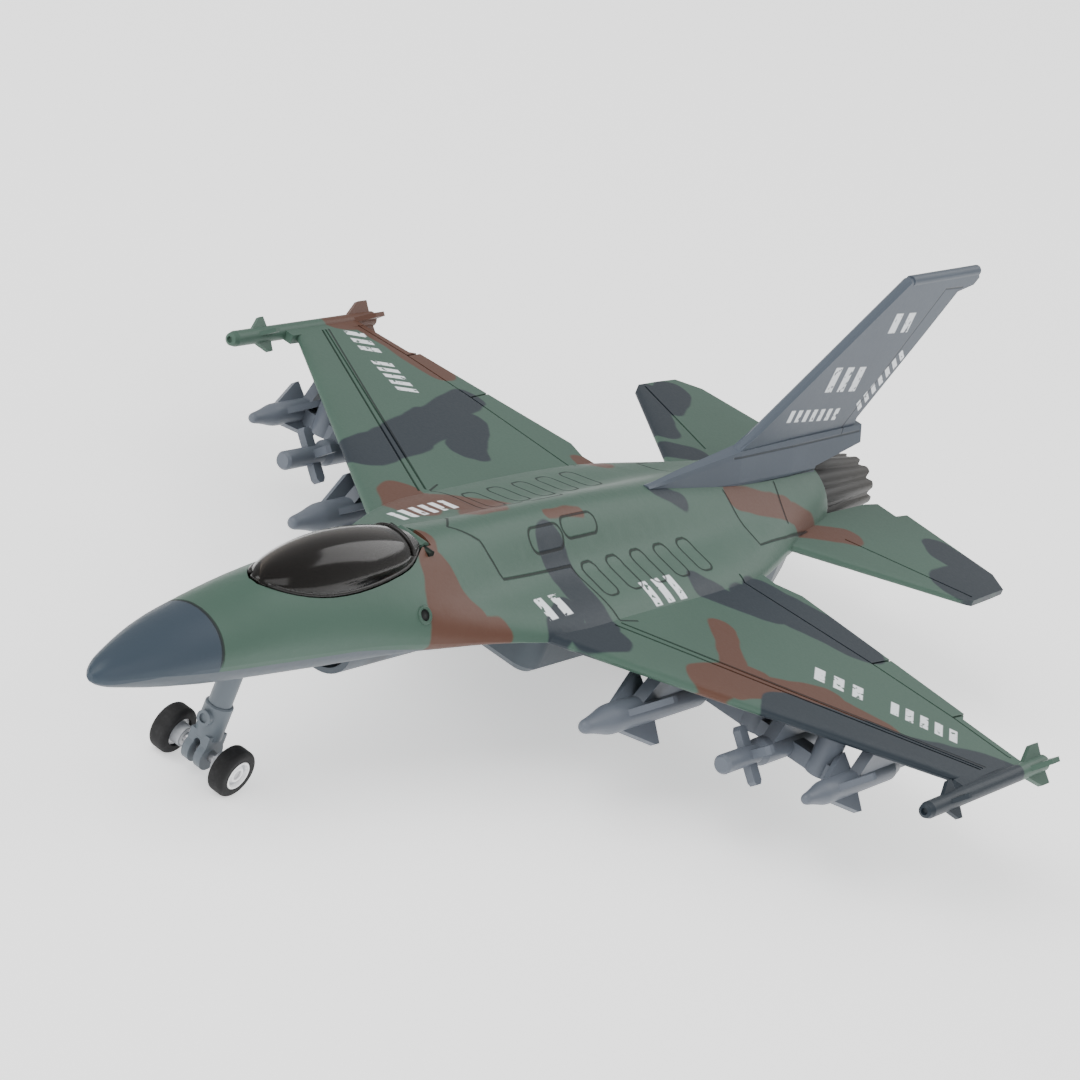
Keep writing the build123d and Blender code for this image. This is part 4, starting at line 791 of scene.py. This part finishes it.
class JET_OT_cockpit(JetOperator):
    """Cockpit tub, moulded seat, harness relief, stick and display"""
    bl_idname = "jet.cockpit"
    bl_label = "Cockpit"

    def execute(self, context):
        tint = settings("jet_plastic").cockpit
        dress("cockpit_tub", moulded("cockpit_plastic_black", tint, 0.6))
        dress("ejection_seat", moulded("seat_plastic_grey", shade(tint, 1.8), 0.55))
        squab = moulded("seat_squab_plastic", screen(72, 74, 62), 0.8, 0.2, 3.0)
        low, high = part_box("ejection_seat")
        base = low.z + 2.2 * MM
        front = low.y
        pad = rounded(Vector((-1.9 * MM, front + 0.4 * MM, base - 0.2 * MM)),
                      Vector((1.9 * MM, front + 4.2 * MM, base + 0.8 * MM)), 0.45)
        piece("seat_squab", *pad, squab, BODY, "seat_plastic")
        back_y = front + 4.8 * MM
        back = rounded(Vector((-1.7 * MM, back_y - 0.5 * MM, base + 0.9 * MM)),
                       Vector((1.7 * MM, back_y + 0.5 * MM, high.z - 2.8 * MM)), 0.45)
        piece("seat_back", *back, squab, BODY, "seat_plastic")
        strap_finish = moulded("harness_relief_paint", screen(120, 116, 96), 0.8, 0.15, 4.0)
        for side, word in ((1, "port"), (-1, "starboard")):
            path = [Vector((side * 0.8 * MM, back_y - 0.55 * MM, high.z - 3.2 * MM)),
                    Vector((side * 0.9 * MM, back_y - 0.75 * MM, base + 2.6 * MM)),
                    Vector((side * 1.1 * MM, back_y - 0.9 * MM, base + 1.0 * MM))]
            piece(f"{word}_harness_relief", *tube(path, 0.22 * MM, 6), strap_finish, BODY, "seat_plastic")
        grip = moulded("stick_plastic", screen(24, 24, 24), 0.5)
        tub_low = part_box("cockpit_tub")[0]
        floor = tub_low.z + 0.9 * MM
        stick_y = front - 2.0 * MM
        path = [Vector((0, stick_y, floor)), Vector((0, stick_y, floor + 2.4 * MM)),
                Vector((0, stick_y + 0.3 * MM, floor + 3.6 * MM))]
        piece("control_stick", *tube(path, 0.32 * MM, 8), grip, BODY, "cockpit_plastic")
        screen_glass = moulded("display_glass", screen(40, 62, 60), 0.15)
        shelf = tub_low.y + 9.9 * MM
        display = rounded(Vector((-1.6 * MM, shelf, floor + 1.4 * MM)),
                          Vector((1.6 * MM, shelf + 0.5 * MM, floor + 3.6 * MM)), 0.3)
        piece("display_panel", *display, screen_glass, BODY, "cockpit_plastic")
        return {"FINISHED"}


class JET_OT_undercarriage(JetOperator):
    """Nose leg, axles, tyres and wheel centres"""
    bl_idname = "jet.undercarriage"
    bl_label = "Undercarriage"

    def execute(self, context):
        plastic = settings("jet_plastic")
        dress("nose_leg", moulded("leg_plastic_grey", plastic.leg, 0.38))
        axle = steel("axle_steel", (0.6, 0.6, 0.62), 0.25)
        rubber = tyre_rubber()
        for group in ("nose", "main"):
            dress(f"{group}_axle", axle)
            low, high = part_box(f"port_{group}_tyre")
            middle = (low + high) / 2
            rim = (high.z - low.z) / 2 / MM * 0.62
            white = hub_plastic(middle.y / MM, middle.z / MM, rim * 0.58, rim - 0.52)
            for side in ("port", "starboard"):
                dress(f"{side}_{group}_tyre", rubber)
                dress(f"{side}_{group}_hub", white)
        return {"FINISHED"}


class JET_OT_motor(JetOperator):
    """Pull-back motor: case, gears, spring and screws"""
    bl_idname = "jet.motor"
    bl_label = "Motor"

    def execute(self, context):
        case = moulded("motor_plastic_black", settings("jet_plastic").motor, 0.5)
        gears = moulded("gear_plastic_cream", screen(222, 216, 198), 0.4)
        for side in ("port", "starboard"):
            dress(f"{side}_motor_case", case)
        for node in ("axle_pinion", "winding_gear"):
            dress(node, gears)
        dress("mainspring", steel("spring_steel_blue", (0.32, 0.34, 0.38), 0.25))
        screws = steel("screw_steel_plated", (0.5, 0.5, 0.5), 0.3)
        for node in ("motor_screws", "body_screws", "rack_screws"):
            dress(node, screws)
        return {"FINISHED"}


class JET_OT_gun_port(JetOperator):
    """Small round port with a raised lip on the port shoulder and a dark disc of painted shadow in its hollow
    """
    bl_idname = "jet.gun_port"
    bl_label = "Shoulder port"

    def execute(self, context):
        dark = moulded("port_shadow", screen(28, 30, 30), 0.6)
        roof = surface("upper_casting")
        hit, normal = roof.ray_cast(Vector((0.06, -0.0476, 0.0268)), Vector((-1, 0, 0)))[:2]
        turn = normal.to_track_quat("Z", "Y").to_matrix()
        profile = [(0.8, -0.5), (1.3, -0.5), (1.35, 0.1), (1.1, 0.36), (0.85, 0.1)]
        points, faces = turned([(r * MM, h * MM) for r, h in profile], hit, turn, 24)
        lip = moulded("port_lip_paint", settings("jet_paint").green, 0.45)
        piece("shoulder_port_lip", points, faces, lip, BODY, "camouflage_paint")
        # Painted shadow: a dark disc inside the lip stands in for the shade in the port's hollow.
        profile = [(0.0, -0.4), (0.85, -0.4), (0.87, 0.02), (0.0, 0.05)]
        points, faces = turned([(r * MM, h * MM) for r, h in profile], hit, turn, 24)
        piece("shoulder_port_shadow_disc", points, faces, dark, BODY, "camouflage_paint")
        return {"FINISHED"}


class JET_OT_stage(JetOperator):
    """Pale floor, soft lights and the camera"""
    bl_idname = "jet.stage"
    bl_label = "Stage"

    def execute(self, context):
        stage = settings("jet_stage")
        finish = Finish("floor_paper")
        tone = finish.noise(0.02, 2.0)
        color = finish.mix(tone, tuple(stage.floor), shade(stage.floor, 0.99))
        paper = finish.close(color, 0.85, finish.noise(0.5, 2.0), bump=0.02, depth=0.05,
                             Emission_Color=(1.0, 1.0, 1.0), Emission_Strength=FLOOR_GLOW)
        size = 4.0
        mesh = bpy.data.meshes.new("floor")
        corners = [(-size, -size, 0), (size, -size, 0), (size, size, 0), (-size, size, 0)]
        mesh.from_pydata(corners, [], [(0, 1, 2, 3)])
        mesh.materials.append(paper)
        floor = bpy.data.objects.new("floor", mesh)
        context.scene.collection.objects.link(floor)
        self.lights(context)
        self.camera(context, stage)
        return {"FINISHED"}

    def lights(self, context):
        """Broad soft lights and an even surround."""
        world = bpy.data.worlds.new("surround")
        world.use_nodes = True
        world.node_tree.nodes["Background"].inputs[0].default_value = (1.0, 1.0, 1.0, 1.0)
        world.node_tree.nodes["Background"].inputs[1].default_value = SURROUND
        context.scene.world = world
        rows = [("key_light", (-0.35, -0.75, 0.95), 0.9, 13.0), ("side_light", (0.95, -0.25, 0.65), 0.8, 4.0),
                ("back_light", (0.2, 0.95, 0.8), 0.8, 5.0)]
        for name, place, size, power in rows:
            data = bpy.data.lights.new(name, "AREA")
            data.size = size
            data.energy = power
            light = bpy.data.objects.new(name, data)
            light.location = place
            light.rotation_euler = Vector(place).to_track_quat("Z", "Y").to_euler()
            context.scene.collection.objects.link(light)

    def camera(self, context, stage):
        """Camera at the viewing angle, turned about its own axis."""
        data = bpy.data.cameras.new("camera")
        data.lens = stage.lens
        data.sensor_width = 36.0
        data.clip_start = 0.01
        data.clip_end = 20.0
        made = bpy.data.objects.new("camera", data)
        back = Vector((sin(stage.azimuth) * cos(stage.elevation), -cos(stage.azimuth) * cos(stage.elevation),
                       sin(stage.elevation)))
        look = back.to_track_quat("Z", "Y").to_matrix().to_4x4()
        roll = Matrix.Rotation(stage.roll, 4, "Z")
        made.matrix_world = Matrix.Translation(AIM + back * stage.distance) @ look @ roll
        context.scene.collection.objects.link(made)
        context.scene.camera = made


OPERATORS = (JET_OT_casting, JET_OT_underside, JET_OT_fin, JET_OT_nozzle, JET_OT_stores, JET_OT_canopy,
             JET_OT_cockpit, JET_OT_undercarriage, JET_OT_motor, JET_OT_gun_port, JET_OT_stage)
GROUPS = {"jet_paint": PaintSettings, "jet_plastic": PlasticSettings, "jet_canopy": CanopySettings,
          "jet_stage": StageSettings}


class JET_PT_panel(bpy.types.Panel):
    """Sidebar panel that lists the jet's steps"""
    bl_idname = "JET_PT_panel"
    bl_label = "Toy jet"
    bl_space_type = "VIEW_3D"
    bl_region_type = "UI"
    bl_category = "Toy jet"

    def draw(self, context):
        for group in GROUPS:
            box = self.layout.box()
            for name in GROUPS[group].__annotations__:
                box.prop(getattr(context.scene, group), name)
        for operator in OPERATORS:
            self.layout.operator(operator.bl_idname)


def register():
    """Registers the settings, operators and panel."""
    for group in GROUPS.values():
        bpy.utils.register_class(group)
    for name, group in GROUPS.items():
        setattr(bpy.types.Scene, name, bpy.props.PointerProperty(type=group))
    for item in OPERATORS + (JET_PT_panel,):
        bpy.utils.register_class(item)


def unregister():
    """Removes what register added."""
    for item in reversed(OPERATORS + (JET_PT_panel,)):
        bpy.utils.unregister_class(item)
    for name, group in GROUPS.items():
        delattr(bpy.types.Scene, name)
        bpy.utils.unregister_class(group)


def main():
    """Builds every piece in order."""
    register()
    for operator in OPERATORS:
        group, name = operator.bl_idname.split(".")
        getattr(getattr(bpy.ops, group), name)()


if __name__ == "__main__":
    main()
